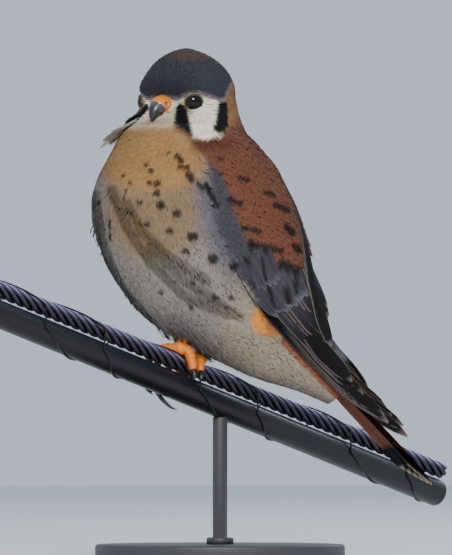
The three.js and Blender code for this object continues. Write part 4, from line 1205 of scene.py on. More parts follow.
FAR_PRIMARIES = {**TIERS["primaries"], "from": (2.5, 40), "end": (0.985, 0.80), "to": (3.5, 15)}
FAR_WING_EDGES_AND_SHEEN = ((340, 351), (8, 14))


def tier_points(side, tier, rng):
    """Points of one tier of a wing, and each vane's chance."""
    count = tier["count"]
    number = np.linspace(0, 1, count)
    value = {key: mixed(pair, number)[:, None] for key, pair in tier.items() if isinstance(pair, tuple)}
    end = value["end"] + 0.008 * rng.normal(0, 1, (count, 1))
    twist = 0.5 * rng.normal(0, 1, (count, 1))

    def path(share):
        along = value["start"] + (end - value["start"]) * share
        over = value["from"] + (value["to"] + twist - value["from"]) * share ** 0.9
        return along, over

    look = {
        "width": value["width"][:, 0] * rng.uniform(0.94, 1.06, count),
        "low": value["low"][:, 0],
        "high": value["high"][:, 0] + 0.03 * np.arange(count),
        "arch": 0.3,
        "roll": -0.3,
        "thick": 0.3,
        "lead": tier["lead"],
        "root_share": 0.5,
        "point": tier["point"],
    }
    return quills(wing_sheet(side), tier["kind"], path, look), rng.uniform(0, 1, count)


# %% [markdown]
# ## Colours of the wing
# The quills are nearly black with a fine pale edge. The coverts are blue-grey, each with a dark
# drop near its tip. The shoulder and the middle of the back are rufous with black bars, which are
# put where the photograph shows them, and mirrored to the other wing.

# %% Wing colours
QUILL_DARK = paint(21, 21, 22)
QUILL_EDGE = paint(119, 110, 106)
COVERT_EDGE = paint(118, 120, 134)


def tier_colours(name, points, kind, chance):
    """Colours over the vanes of a tier: ground, pale edge, dark middle, by share and across."""
    share, across = np.broadcast_to(kind["share"], points.shape[:2]), kind["across"]
    edge = np.maximum(fade(np.abs(across), 0.86, 0.98), fade(share, 0.965, 0.995))
    if name in ("primaries", "secondaries"):
        colours = ground(points, QUILL_DARK)
        if name == "secondaries":
            colours = wash(colours, BLUE_GREY, 0.65 * fade(share, 0.95, 0.5))
        colours = wash(colours, QUILL_EDGE, 0.75 * edge * fade(share, 0.2, 0.5))
    else:
        colours = wash(ground(points, BLUE_GREY), COVERT_EDGE, 0.45 * edge)
        middle = np.exp(-((across / 0.12) ** 2)) * fade(share, 0.1, 0.3)
        colours = wash(colours, BLACK, 0.4 * middle)
        colours = spotted(colours, points)
    light = 1 + 0.18 * (chance[:, None] - 0.5)
    return colours * light[..., None]


def add_wing(side, label):
    """All the quills and large coverts of one wing, joined in one piece."""
    rng = np.random.default_rng(60 + side)
    parts, colours, maps, rims = [], [], [], []
    for name, tier in TIERS.items():
        far = side > 0 and name == "primaries"
        points, chance = tier_points(side, FAR_PRIMARIES if far else tier, rng)
        kind = tier["kind"]
        paints = tier_colours(name, points, kind, chance)
        # A pale wash over one patch of the far wing: partly its pale feather edges, partly painted sheen.
        if side > 0:
            paints = wash(paints, COVERT_EDGE, 0.9 * blot(*seen(points), *FAR_WING_EDGES_AND_SHEEN))
        parts.append(herd(points, kind))
        colours.append(opaque(paints))
        roots = np.stack([np.linspace(0.1, 0.9, len(chance)), 0.2 * len(parts) + 0 * chance], -1)
        maps.append(own_maps(kind, roots, chance))
        rims.append(np.tile(kind["rim"], len(chance)))
    together = {key: np.concatenate([each[key] for each in maps]) for key in maps[0]}
    make(f"wing_{label}_quills", *join(parts), PLUMAGE, "wing_feathers", np.concatenate(colours), together,
         (f"wing_{label}",), np.concatenate(rims))


add_wing(-1, "left")
add_wing(1, "right")

# %% [markdown]
# ## Small coverts and scapulars
# The shoulder end of the wing wears small round feathers in many rows, grey toward the lower edge
# and rufous over the back. They are blades of the same kind as the breast's, only firmer, laid over
# the wing's sheet from the bend to where the long quills take over.

# %% Shoulder feathers
BACK_OVER = 66.0
SHEET_HEIGHT = 90.0
SHOULDER_SINK = 1.6
SINK_ALONG = (0.3, 0.12)
SINK_OVER = (22, 42)
FAR_SINK = 0.5


def add_shoulder(side, label, name, kind, start, end, limits, spacing, size, seed, lift):
    """Rows of feathers over a stretch of the wing's sheet, coloured by their place.

    They sink toward the bend and the back, so that the shoulder closes on the body. Size is the
    length and width of a feather, and lift is its height over the sheet at root and tip.
    """
    rng = np.random.default_rng(seed)
    sheet = wing_sheet(side)
    roots = rows_on(sheet, start, end, limits, spacing, rng)
    count = len(roots)
    sink = fade(roots[:, 0], *SINK_ALONG) * fade(roots[:, 1], *SINK_OVER) + FAR_SINK * (side > 0)
    look = {
        "length": size[0] * rng.uniform(0.88, 1.14, count),
        "width": size[1] * rng.uniform(0.9, 1.12, count),
        "heading": rng.normal(0.0, 0.05, count),
        "bend": rng.normal(0, 0.02, count),
        "low": lift[0] - SHOULDER_SINK * sink,
        "high": lift[1] - SHOULDER_SINK * sink + rng.normal(0, 0.06, count),
        "arch": 0.15,
        "thick": 0.14,
        "fringe": rng.uniform(0.0, 0.06, count),
        "point": 0.5,
    }
    points = lay(sheet, kind, roots, look)
    chance = rng.uniform(0, 1, count)
    colours = paint_blades(points, kind, chance, 0.1, 0.04)
    patches = np.stack([roots[:, 0], roots[:, 1] / SHEET_HEIGHT], -1) * 0.98 + 0.01
    make_blades(f"wing_{label}_{name}", points, kind, "wing_feathers", colours, patches, chance)


GREY_TOP = {"along": [0.0, 0.1, 0.3, 0.4], "over": [9, 12, 20, 26]}
BACK_FOOT = {"along": [0.0, 0.1, 0.2, 0.3, 0.38, 0.44], "over": [3, 6, 11, 12, 14, 20]}
BACK_TOP = {"along": [0.0, 0.3, 0.4], "over": [BACK_OVER, 60, 52]}
WHOLE_TOP = {"along": [0.0, 0.3, 0.42], "over": [BACK_OVER, 62, 50]}


def over_at(border, along):
    """Millimetres up from the lower edge to a border, at a share of the wing's length."""
    return float(np.interp(along, border["along"], border["over"]))


def grey_limits(along):
    """From the lower edge up to where the grey feathers end."""
    return 0.3, over_at(GREY_TOP, along)


def back_limits(along):
    """From the grey feathers up to the middle of the back."""
    return over_at(BACK_FOOT, along), over_at(BACK_TOP, along)


def whole_limits(along):
    """From the lower edge up to the middle of the back."""
    return 0.5, over_at(WHOLE_TOP, along)


SHOULDER = {
    "lesser_coverts": (BROAD, 0.03, 0.36, grey_limits, (3.4, 3.4), (9, 6.4), 71, (-1.8, -0.3)),
    "scapulars": (BROAD, 0.04, 0.385, back_limits, (4.0, 4.0), (13, 9.0), 72, (-2.2, 0.0)),
    "shoulder_locks": (LOCK, 0.02, 0.42, whole_limits, (1.8, 1.4), (6.5, 2.0), 73, (-0.9, 0.3)),
}
for side, label in ((-1, "left"), (1, "right")):
    for name, values in SHOULDER.items():
        add_shoulder(side, label, name, *values)

# %% [markdown]
# ## Crossing quills
# Over the back the two folded wings meet, and the innermost quills of the right wing lie on the
# left one. They follow its upper border as a dark strip with fine pale edges.

# %% Crossing quills
CROSSING = {"along": [0.1, 0.2, 0.3, 0.415, 0.54, 0.66, 0.72], "over": [58, 54, 50, 44.5, 35, 23, 18]}
CROSSING_COUNT = 7
CROSSING_SPREAD = 5.5


def add_crossing():
    """Quills whose middle line follows the border, each ending further on than the last."""
    sheet = wing_sheet(-1)
    number = np.linspace(0, 1, CROSSING_COUNT)[:, None]
    start, end = 0.16 + 0.1 * number, 0.44 + 0.25 * number

    def path(share):
        along = start + (end - start) * share
        over = np.interp(along, CROSSING["along"], CROSSING["over"])
        return along, over + CROSSING_SPREAD * (1 - number) * fade(along, 0.6, 0.25) + 0.5

    flat = number[:, 0]
    look = {
        "width": 6.5 + 1.5 * flat,
        "low": -1.8,
        "high": 0.35 - 0.3 * flat,
        "arch": 0.3,
        "roll": -0.2,
        "thick": 0.3,
        "lead": 0.15,
        "root_share": 0.5,
        "point": 0.3,
    }
    points = quills(sheet, QUILL, path, look)
    chance = flat * 0.9 + 0.05
    inner = np.exp(-(((QUILL["across"] + 0.7) / 0.16) ** 2))
    colours = tier_colours("primaries", points, QUILL, chance)
    colours = wash(colours, RUFOUS_DARK, 0.7 * inner * fade(flat, 0.5, 0.1)[:, None])
    patches = np.stack([chance, 0.97 + 0 * chance], -1)
    make_blades("wing_right_crossing", points, QUILL, "wing_feathers", opaque(colours), patches, chance)


add_crossing()

# %% [markdown]
# ## The tail
# Twelve feathers lie almost closed, the middle pair on top. They are rufous, with a broad black
# band before a pale tip. Seen from the side the pairs step back one under the other.

# %% Tail
TAIL_ROOT = np.array([50.0, 0.0, 92.5])
TAIL_TIP = np.array([104.0, 0.0, 38.6])
TAIL_ROLL = math.radians(8)
TAIL_PAIRS = 6
TAIL_STEP = 1.0
TAIL_LAYER = 0.72
TAIL_BOW = 1.8
TAIL_VANE = 8.6
TAIL_BAND = {"start": (0.76, 0.79), "end": (0.965, 0.945)}
TAIL_PALE_FROM = (0.955, 0.975)
TAIL_PALE = paint(200, 184, 164)
TAIL_AHEAD = unit(TAIL_TIP - TAIL_ROOT)
TAIL_UP = np.array([-TAIL_AHEAD[2], 0.0, TAIL_AHEAD[0]])
TAIL_LEFT = np.array([0.0, -1.0, 0.0]) * math.cos(TAIL_ROLL) + TAIL_UP * math.sin(TAIL_ROLL)
TAIL_OVER = TAIL_UP * math.cos(TAIL_ROLL) + np.array([0.0, 1.0, 0.0]) * math.sin(TAIL_ROLL)


def tail_sheet(share, across, over):
    """The tail's surface: down it, across to the bird's left, and over toward its back."""
    share, across, over = np.broadcast_arrays(share, across, over)
    droop = over + TAIL_BOW * np.sin(math.pi * share) - 0.012 * across**2
    line = TAIL_ROOT + share[..., None] * (TAIL_TIP - TAIL_ROOT)
    return line + across[..., None] * TAIL_LEFT + droop[..., None] * TAIL_OVER


def add_tail():
    """Quills on the tail's sheet: each pair lies a layer lower and a step further out."""
    pair = np.repeat(np.arange(TAIL_PAIRS), 2)
    side = np.tile([-1, 1], TAIL_PAIRS)
    reach = (1 - 0.022 * pair**1.3)[:, None]
    aside = (side * (0.5 + pair) * TAIL_STEP)[:, None]

    def path(share):
        return share * reach, aside * (0.5 + 0.5 * share)

    layer = -TAIL_LAYER * (pair + 0.3 * (side > 0))
    look = {
        "width": TAIL_VANE,
        "low": 0.5 * layer,
        "high": layer,
        "arch": 0.3,
        "roll": 0.0,
        "thick": 0.4,
        "lead": -0.25 * side,
        "root_share": 0.6,
        "point": 0.13,
    }
    points = quills(tail_sheet, QUILL, path, look)
    share = np.broadcast_to(QUILL["share"], points.shape[:2])
    colours = ground(points, TAIL_RUFOUS)
    colours = wash(colours, BLACK, fade(share, *TAIL_BAND["start"]) * fade(share, *TAIL_BAND["end"]))
    colours = wash(colours, TAIL_PALE, fade(share, *TAIL_PALE_FROM))
    shaft = np.exp(-((QUILL["across"] / 0.1) ** 2)) * fade(share, 0.1, 0.3)
    colours = wash(colours, BLACK, 0.6 * shaft)
    chance = np.linspace(0, 1, len(pair))
    patches = np.stack([0.9 + 0 * chance, chance * 0.9 + 0.05], -1)
    make_blades("tail_quills", points, QUILL, "tail_feathers", opaque(colours), patches, chance, ("tail",))


add_tail()

# %% [markdown]
# ## Tubes and lofts
# Toes, claws, wires and lids are all tubes: a ring of points carried along a smooth line, with its
# own radius at every step. The ring's two ways are carried along with it, so that the tube never
# twists. A roughness of the surface, such as scutes, comes in as a factor on the radius.

# %% Tubes
def frames_along(line):
    """Two ways square to a line at each of its points, carried along with the least turning."""
    way = unit(np.gradient(line, axis=0))
    start = UP if abs(way[0] @ UP) < 0.9 else np.array([1.0, 0.0, 0.0])
    normal = unit(np.cross(start, way[0]))
    normals = []
    for step in way:
        normal = unit(normal - step * (normal @ step))
        normals.append(normal)
    normals = np.array(normals)
    return normals, np.cross(way, normals)


def tube(line, radius, sides):
    """Points and faces of a closed tube: radius is a number, or an array by step and side."""
    normals, others = frames_along(line)
    angle = all_round(sides)
    radius = np.broadcast_to(np.asarray(radius, float), (len(line), sides))[..., None]
    ring = normals[:, None] * np.cos(angle)[:, None] + others[:, None] * np.sin(angle)[:, None]
    return close_rings(line[:, None] + radius * ring)


def smooth_line(points, steps):
    """A smooth line through a few points, by the same cubic as the body's sections."""
    points = np.asarray(points, float)
    place = np.linspace(0, len(points) - 1, steps)
    return np.stack([through(points[:, k], place) for k in range(3)], -1)


def band(middle, ways, radii, heights, section, around=96):
    """A closed ring-shaped band: an oval section carried round an oval in a plane.

    At each angle the band's middle lies at the two radii along the first two ways and at a height
    along the third. Section gives its half thickness outward and half height.
    """
    angle = all_round(around)[:, None]
    turn = all_round(12)[None, :]
    out = section[0] * np.cos(turn)
    height = heights(angle) + section[1] * np.sin(turn)
    points = middle + ((radii[0] + out) * np.cos(angle))[..., None] * ways[0]
    points = points + ((radii[1] + out) * np.sin(angle))[..., None] * ways[1]
    points = points + height[..., None] * ways[2]
    quads = tile(around, 12)
    column = np.arange(12)
    last = np.stack([(around - 1) * 12 + column, (around - 1) * 12 + (column + 1) % 12,
                     (column + 1) % 12, column], -1)
    return points.reshape(-1, 3), [np.concatenate([quads, last])]


# %% [markdown]
# ## Eyes
# A falcon's eye is large, round and nearly black, set deep under the brow. The globe is a full
# ball of the real size, with a clear bulge of the cornea in front of a dark brown iris. Round it
# runs a thin dark lid, and outside that a bare yellow ring of skin.

# %% Eyes and lids
LID_OPENING = 3.8
IRIS_HALF = 3.6
PUPIL_HALF = 2.7
CORNEA_RISE = 0.35
RING_OUT = 0.7


def globe(rows=48, around=64):
    """A ball as rings from its back to its front, with its front part bulging a little more."""
    turn = np.linspace(0.02, math.pi - 0.02, rows)[:, None]
    angle = all_round(around)[None, :]
    bulge = EYE_RADIUS + CORNEA_RISE * fade(turn, math.pi * 0.66, math.pi * 0.82)
    radius = bulge * np.sin(turn)
    return np.stack([radius * np.cos(angle), radius * np.sin(angle), -bulge * np.cos(turn) + 0 * angle], -1)


def eye_build(tree):
    """The marking alone: the wet gloss comes from fixed values."""
    return {"Base Color": marking(tree)}


EYE = material("eye", eye_build, Roughness=0.04, Specular_IOR_Level=0.5, IOR=1.38)


def bare_build(tree):
    """Fine-grained skin."""
    grain = grain_of(tree, 1800.0, 3.0)
    colour = shaded(tree, marking(tree), 0.8 + grain * 0.4)
    return {"Base Color": colour, "Normal": bumped(tree, 0.3, 0.0002, grain)}


BARE = material("bare_skin", bare_build, Roughness=0.42, Subsurface_Weight=0.08, Subsurface_Scale=0.002)
PUPIL = paint(6, 5, 6)
IRIS = paint(24, 16, 12)
DARK_LID_AND_PIT_SHADE = paint(30, 24, 20)
RING_YELLOW = paint(110, 88, 52)


def even(count, colour):
    """The same colour for every point."""
    return np.tile(np.array([*colour[:3], 1.0]), (count, 1))


def add_eye(side, label):
    """A globe coloured by the distance from its line of sight, and round it the lid and the ring."""
    middle, outward, forward, upward = eye_frame(side)
    ball = globe()
    placed = middle + ball @ np.stack([forward, upward, outward])
    points, faces = close_rings(placed)
    local = (points - middle) @ np.stack([forward, upward]).T
    beside = np.linalg.norm(local, axis=-1)
    front = (points - middle) @ outward > 0
    colours = wash(ground(points, IRIS), PUPIL, fade(beside, PUPIL_HALF + 0.2, PUPIL_HALF - 0.2) * front)
    colours = wash(colours, PUPIL, fade(beside, IRIS_HALF - 0.3, IRIS_HALF + 0.3))
    make(f"eye_{label}_globe", points, faces, EYE, "eye", opaque(colours), None, (f"eye_{label}",))

    def on_ball(radius, raise_by):
        def height(angle):
            return np.sqrt(EYE_RADIUS**2 - radius**2) + raise_by + 0 * angle

        return height

    ways = (forward, upward, outward)
    lid = band(middle, ways, (LID_OPENING + 0.1, LID_OPENING), on_ball(LID_OPENING, 0.3), (0.35, 0.55))
    wide = LID_OPENING + RING_OUT
    ring = band(middle, ways, (wide, wide - 0.1), on_ball(wide, 0.4), (0.4, 0.5))
    points, faces = join([lid, ring])
    paints = np.concatenate([even(len(lid[0]), DARK_LID_AND_PIT_SHADE), even(len(ring[0]), RING_YELLOW)])
    make(f"eye_{label}_lids", points, faces, BARE, "eye", paints)


add_eye(1, "left")
add_eye(-1, "right")

# %% [markdown]
# ## Bill
# The bill is short and strongly hooked. Its root is wrapped in the cere, a soft orange skin with a
# round nostril on each side. The horn is blue-grey and blackens to the tip. Each half is a loft:
# oval sections along a bent line, with the same line, heights and widths as the construction. The
# cere is a slight swelling of the loft, and the nostril a pit in it with a small cone inside.

# %% Bill
UPPER_LINE = [[12, -4.6], [16, -4.9], [19.4, -5.6], [22.4, -8.0], [24.0, -11.2], [24.4, -14.4]]
UPPER_TALL = [4.0, 4.0, 3.8, 2.9, 1.7, 0.25]
UPPER_WIDE = [4.6, 4.8, 4.4, 3.2, 1.7, 0.25]
LOWER_LINE = [[12, -10.2], [15.5, -10.3], [18.8, -10.5], [21.4, -10.7]]
LOWER_TALL = [1.9, 1.8, 1.4, 0.5]
LOWER_WIDE = [3.9, 3.6, 2.8, 0.9]
NOSTRIL = (18.9, 4.0, -4.9)
NOSTRIL_PIT = (1.15, 0.75)
NOSTRIL_CONE = 0.75
NOSTRIL_RIM = 0.2
CERE_SWELL = 0.3
CERE_END = 22.0
CERE_SLOPE = 1.0
CERE = paint(206, 120, 28)
HORN = paint(60, 66, 78)
HORN_TIP = paint(18, 18, 22)


def bill_loft(line, tall, wide, rows=70, around=72):
    """Rings of the bill: ovals square to its line, as points in head numbers (forward, aside, up)."""
    line = np.array(line, float)
    place = np.linspace(0, len(line) - 1, rows)
    forward = through(line[:, 0], place)
    up = through(line[:, 1], place)
    way = unit(np.stack([np.gradient(forward), np.gradient(up)], -1))
    angle = all_round(around)
    over = np.maximum(through(tall, place), 0.12)[:, None] * np.cos(angle)
    aside = np.maximum(through(wide, place), 0.12)[:, None] * np.sin(angle)
    return np.stack([forward[:, None] - way[:, 1:] * over, aside, up[:, None] + way[:, :1] * over], -1)


def closed_bill(rings):
    """Points and faces of one half of the bill, and the head numbers of every point."""
    points, faces = close_rings(head_point(*(rings[..., k] for k in range(3))))
    return points, faces, np.concatenate([rings.reshape(-1, 3), rings[[0, -1]].mean(axis=1)])


def horn_build(tree):
    """Smooth horn with a faint grain."""
    grain = grain_of(tree, 900.0, 3.0)
    colour = shaded(tree, marking(tree), 0.85 + grain * 0.3)
    return {"Base Color": colour, "Normal": bumped(tree, 0.15, 0.0002, grain)}


HORN_FINISH = material("horn", horn_build, Roughness=0.32, Coat_Weight=0.2)


def add_upper_bill():
    """The upper loft, with the cere's swelling, a rim round each nostril, and the nostril's pit."""
    rings = bill_loft(UPPER_LINE, UPPER_TALL, UPPER_WIDE)
    forward, up = rings[..., 0], rings[..., 2]
    swell = CERE_SWELL * fade(forward - CERE_SLOPE * (up - NOSTRIL[2]), CERE_END + 0.25, CERE_END - 0.35)
    pit = np.zeros_like(forward)
    for side in (-1, 1):
        distance = np.linalg.norm(rings - np.array([NOSTRIL[0], side * NOSTRIL[1], NOSTRIL[2]]), axis=-1)
        pit += fade(distance, *NOSTRIL_PIT) - NOSTRIL_CONE * fade(distance, 0.45, 0.1)
        swell += NOSTRIL_RIM * fade(distance, 1.9, 1.3) * fade(distance, 0.9, 1.3)
    middle = rings.mean(axis=1, keepdims=True)
    rings = rings + unit(rings - middle) * (swell - pit)[..., None]
    points, faces, flat = closed_bill(rings)
    colours = wash(ground(points, HORN), HORN_TIP, fade(flat[:, 2], -8.0, -12.0))
    colours = wash(colours, HORN_TIP, 0.8 * fade(flat[:, 0] - 0.6 * (flat[:, 2] + 8), 22.2, 24.2))
    reach = flat[:, 0] - CERE_SLOPE * (flat[:, 2] - NOSTRIL[2])
    colours = wash(colours, CERE, fade(reach, CERE_END + 0.15, CERE_END - 0.2))
    # Painted shade: the inside of each nostril's pit is darkened.
    hole = np.concatenate([pit.ravel(), [0, 0]])
    colours = wash(colours, DARK_LID_AND_PIT_SHADE, fade(hole, 0.3, 0.9))
    make("bill_upper_horn", points, faces, HORN_FINISH, "horn", opaque(colours), None, ("bill_upper",))


def add_lower_bill():
    """The lower loft, with the cere's colour at its root."""
    points, faces, flat = closed_bill(bill_loft(LOWER_LINE, LOWER_TALL, LOWER_WIDE, 40))
    colours = wash(ground(points, HORN), CERE, fade(flat[:, 0], 19.6, 18.4))
    make("bill_lower_horn", points, faces, HORN_FINISH, "horn", opaque(colours), None, ("bill_lower",))


add_upper_bill()
add_lower_bill()

# %% [markdown]
# ## Corner of the mouth
# From the cere a soft orange fold runs back under the eye, where the two halves of the bill meet.
# It is a thin tube along the line of the mouth on each side.

# %% Gape
MOUTH_LINE = [[19.2, 4.4, -8.6], [17.6, 7.4, -8.9], [15.6, 10.6, -9.6], [14.4, 12.6, -10.2]]


def add_gape():
    """A tapering tube along the line of the mouth on each side."""
    parts = []
    for side in (-1, 1):
        places = np.array(MOUTH_LINE) * [1, side, 1]
        line = smooth_line(head_point(*places.T), 24)
        swell = np.linspace(0.5, 0.2, 24)[:, None]
        parts.append(tube(line, swell, 12))
    points, faces = join(parts)
    make("gape_folds", points, faces, BARE, "foot_skin", even(len(points), CERE))


add_gape()

# %% [markdown]
# ## The wire
# The perch is a cut length of aerial line: a stranded steel wire that carries a smooth black cable
# below it, with thin lashing wires wound round both. Six round wires are laid in a helix round a
# core, which gives the row of slanted ribs and the bright gaps under them.

# %% Perch frame
WIRE_HEADING = math.radians(36)
WIRE_FALL = math.radians(15.6)
WIRE_MIDDLE = np.array([3.1, 14.75, 88.8])
WIRE_LENGTH = 334.0
STRAND_RADIUS = 3.95
STRAND_WIRES = 6
STRAND_LAY = 40.0
CABLE_RADIUS = 6.5
CABLE_DROP = 11.3
CUT_BEVEL = 0.8
WIRE_AHEAD = np.array([math.cos(WIRE_HEADING) * math.cos(WIRE_FALL),
                       math.sin(WIRE_HEADING) * math.cos(WIRE_FALL), -math.sin(WIRE_FALL)])
WIRE_ACROSS = np.array([-math.sin(WIRE_HEADING), math.cos(WIRE_HEADING), 0.0])
WIRE_OVER = np.cross(WIRE_AHEAD, WIRE_ACROSS)


def wire_point(along, across, over):
    """Points by the wire: along it, across to its far side, and square to both."""
    along, across, over = np.broadcast_arrays(*(np.asarray(v, float) for v in (along, across, over)))
    ways = along[..., None] * WIRE_AHEAD + across[..., None] * WIRE_ACROSS + over[..., None] * WIRE_OVER
    return WIRE_MIDDLE + ways


# %% [markdown]
# ## Steel, jacket and lashing
# The strand is dull steel; its colours carry painted light, bright on top, and painted shade, black
# below and in its grooves. The cable's jacket is smooth and dark, with a painted bluish reflection
# along its top. Each wire is a tube carried along a helix. The lashing runs over both circles.

# %% Strand, cable and lashing
def steel_build(tree):
    """Dull zinc, rougher and smoother by patch."""
    grain = grain_of(tree, 700.0, 5.0)
    return {"Base Color": shaded(tree, marking(tree), 0.75 + grain * 0.5), "Roughness": 0.34 + grain * 0.3}


def jacket_build(tree):
    """Smooth plastic, worn by the weather."""
    grain = grain_of(tree, 260.0, 6.0)
    colour = shaded(tree, marking(tree), 0.8 + grain * 0.4)
    bump = bumped(tree, 0.12, 0.0003, grain)
    return {"Base Color": colour, "Roughness": 0.3 + grain * 0.2, "Normal": bump}


STEEL = material("galvanised_steel", steel_build, Metallic=0.3)
JACKET = material("cable_jacket", jacket_build, Coat_Weight=0.15, Coat_Roughness=0.15,
                  Specular_IOR_Level=0.35)
STEEL_PAINTED_LIGHT = paint(140, 137, 176)
STEEL_PAINTED_SHADE = paint(14, 13, 16)
JACKET_PAINTED_REFLECTION = paint(20, 27, 44)
JACKET_LOW = paint(10, 10, 9)


def painted_top_light(points, radius, drop, low, high):
    """Painted light on a bar: colours from dark below to bright on top, by height over its own middle."""
    over = ((points - WIRE_MIDDLE) @ WIRE_OVER + drop) / radius
    return wash(ground(points, low), high, fade(over, -0.1, 0.85))


def add_strand():
    """Six wires wound round a core: each one's middle runs on a helix of the strand's lay."""
    lean = math.sin(math.pi / STRAND_WIRES)
    wire = STRAND_RADIUS * lean / (1 + lean)
    reach = STRAND_RADIUS - wire
    along = np.linspace(-WIRE_LENGTH / 2, WIRE_LENGTH / 2, 360)
    parts = [tube(wire_point(along[[0, -1]], 0, 0), reach - 0.6 * wire, 24)]
    for number in range(STRAND_WIRES):
        angle = 2 * math.pi * (along / STRAND_LAY + (number + 0.5) / STRAND_WIRES)
        parts.append(tube(wire_point(along, reach * np.cos(angle), reach * np.sin(angle)), wire * 1.02, 20))
    points, faces = join(parts)
    # Painted light: the wires are bright on top and dark below; painted shade blackens their grooves,
    # and a painted highlight runs along their crests.
    colours = painted_top_light(points, STRAND_RADIUS, 0.0, STEEL_PAINTED_SHADE, STEEL_PAINTED_LIGHT)
    offset = points - WIRE_MIDDLE
    out = np.hypot(offset @ WIRE_ACROSS, offset @ WIRE_OVER) / STRAND_RADIUS
    lit_crest = fade(out, 0.9, 1.0)[:, None]
    colours = colours * (0.12 + 0.88 * lit_crest) + 0.12 * lit_crest * np.array(STEEL_PAINTED_LIGHT[:3])
    make("perch_strand_wires", points, faces, STEEL, "strand_wire", opaque(colours), None, ("perch_strand",))


def add_cable():
    """A smooth bar with rounded rims at its cut ends."""
    rim = np.sin(np.linspace(0, math.pi / 2, 6))
    inset = CUT_BEVEL * (1 - np.cos(np.linspace(0, math.pi / 2, 6)))
    along = np.concatenate([-WIRE_LENGTH / 2 + inset, WIRE_LENGTH / 2 - inset[::-1]])
    radius = CABLE_RADIUS - CUT_BEVEL * (1 - np.concatenate([rim, rim[::-1]]))
    points, faces = tube(wire_point(along, 0, -CABLE_DROP), radius[:, None], 96)
    # Painted reflection: a bluish colour along the jacket's top, over its own black.
    colours = opaque(painted_top_light(points, CABLE_RADIUS, CABLE_DROP, JACKET_LOW, JACKET_PAINTED_REFLECTION))
    make("perch_cable_jacket", points, faces, JACKET, "cable_sheath", colours, None, ("perch_cable",))


LASH_RADIUS = 0.4
LASH_PITCH = 113.0
LASH_LAG = 0.7
LASH_PLACES = (-20.4, 18.3)
LASH_STEEP = (0.2, 0.52)


def add_lashing():
    """Thin wires round both: a line over the two circles, which moves on mostly at the far side."""
    parts = []
    for place, steep in zip(LASH_PLACES, LASH_STEEP):
        turns = WIRE_LENGTH / LASH_PITCH + 2
        angle = np.linspace(-turns * math.pi, turns * math.pi, 900)
        low = np.sin(angle) > -0.12
        radius = np.where(low, CABLE_RADIUS, STRAND_RADIUS) + LASH_RADIUS
        across = -radius * np.cos(angle)
        over = -radius * np.sin(angle) - np.where(low, CABLE_DROP, 0)
        along = LASH_PITCH / (2 * math.pi) * (angle - steep * np.sin(angle - LASH_LAG)) + place
        inside = np.abs(along) < WIRE_LENGTH / 2
        parts.append(tube(wire_point(along, across, over)[inside], LASH_RADIUS, 8))
    points, faces = join(parts)
    make("perch_lashing", points, faces, JACKET, "cable_sheath", even(len(points), JACKET_LOW))


add_strand()
add_cable()
add_lashing()

# %% [markdown]
# ## Legs, feet and claws
# The feet are orange and bare, with a row of broad scutes over each toe and soft pads beneath.
# Three toes reach over the front of the wire and one behind. Each toe is a tube whose upper side is
# notched between the scutes, and each claw is a smooth curved horn. A toe is written as its slant
# along the wire, its reach down, 1 for the front of the wire or -1 for behind it, its thickness,
# and the curl of its claw round the cable, if it has one: degrees round, and how far out and on.

# %% Feet
CLAW_STEPS = [(0, 0), (3.2, -0.5), (6.0, 0.3), (8.2, 2.0)]
HIND_CLAW = 0.65
CLAW_CURL = [(18, 0, 1), (42, 0, 2), (66, 0, 3.3)]
TALON_CURL = [(22, 0, 1), (62, 0.4, 4), (86, 2.4, 7.5), (94, 2.9, 11)]
FEET = {
    "left": (-31.0, {
        "outer": (-13, 12, 1, 1, CLAW_CURL),
        "middle": (-6.5, 18.5, 1, 1, TALON_CURL),
        "inner": (1.5, 9.5, 1, 1, None),
        "hind": (2.6, 3.4, -1, 1.25, None),
    }),
    "right": (-16.5, {
        "inner": (-5.6, 8.5, 1, 1, None),
        "middle": (-0.8, 9.5, 1, 1, None),
        "outer": (4.0, 9.5, 1, 1, None),
        "hind": (-6.0, 2.4, -1, 1, None),
    }),
}
GAP = 0.3
TOE_RADIUS = 1.85
TOE_RADII = [2.7, 2.2, 1.95, 1.8, 1.4]
BALL_RADIUS = 3.9
CLAW_RADII = [1.3, 1.15, 0.8, 0.12]
SHANK_RADII = [2.3, 2.2, 2.6]
SHANK_LEAN = unit(np.array([0.23, 0.0, 1.0]))
SHANK_LENGTH = 15.4
FOOT_ORANGE = paint(222, 122, 28)
FOOT_SHADE_ORANGE = paint(150, 78, 26)
CLAW_BLACK = paint(34, 32, 36)


def toe_line(along, toe):
    """Points of a toe's line: over the wire and down one side of it, with a bend at each joint."""
    aside, down, front, thick, curl = toe
    radius = TOE_RADIUS * thick
    over = STRAND_RADIUS + GAP + radius + 0.15
    wide = CABLE_RADIUS + GAP + radius + 0.1
    side = wide if curl else over + (wide - over) * 0.55
    line = [(along, 0, over + 0.6), (along + 0.55 * aside, front * over * 0.62, over * 0.86),
            (along + 0.9 * aside, front * over * 1.02, over * 0.1),
            (along + aside, front * side, -min(down, 8) * 0.8)]
    if curl:
        line.append((along + aside, front * side, -down * 0.82))
    return np.array([wire_point(*place) for place in line])


def claw_line(along, toe, line):
    """Points of a claw's line: on from the toe and in under the strand, or round the cable."""
    aside, _, front, _, curl = toe
    way = unit(line[-1] - line[-2])
    start = line[-1] + way * GAP
    if curl:
        turns, out, on = np.array(curl, float).T
        turns = np.radians(turns)
        reach = CABLE_RADIUS + GAP + 1.1 + out
        bend = wire_point(along + aside + on, reach * np.cos(turns), -CABLE_DROP - reach * np.sin(turns))
        return np.concatenate([start[None], bend])
    short = HIND_CLAW if front < 0 else 1
    return np.array([start + (way * on - front * WIRE_ACROSS * inward) * short for on, inward in CLAW_STEPS])


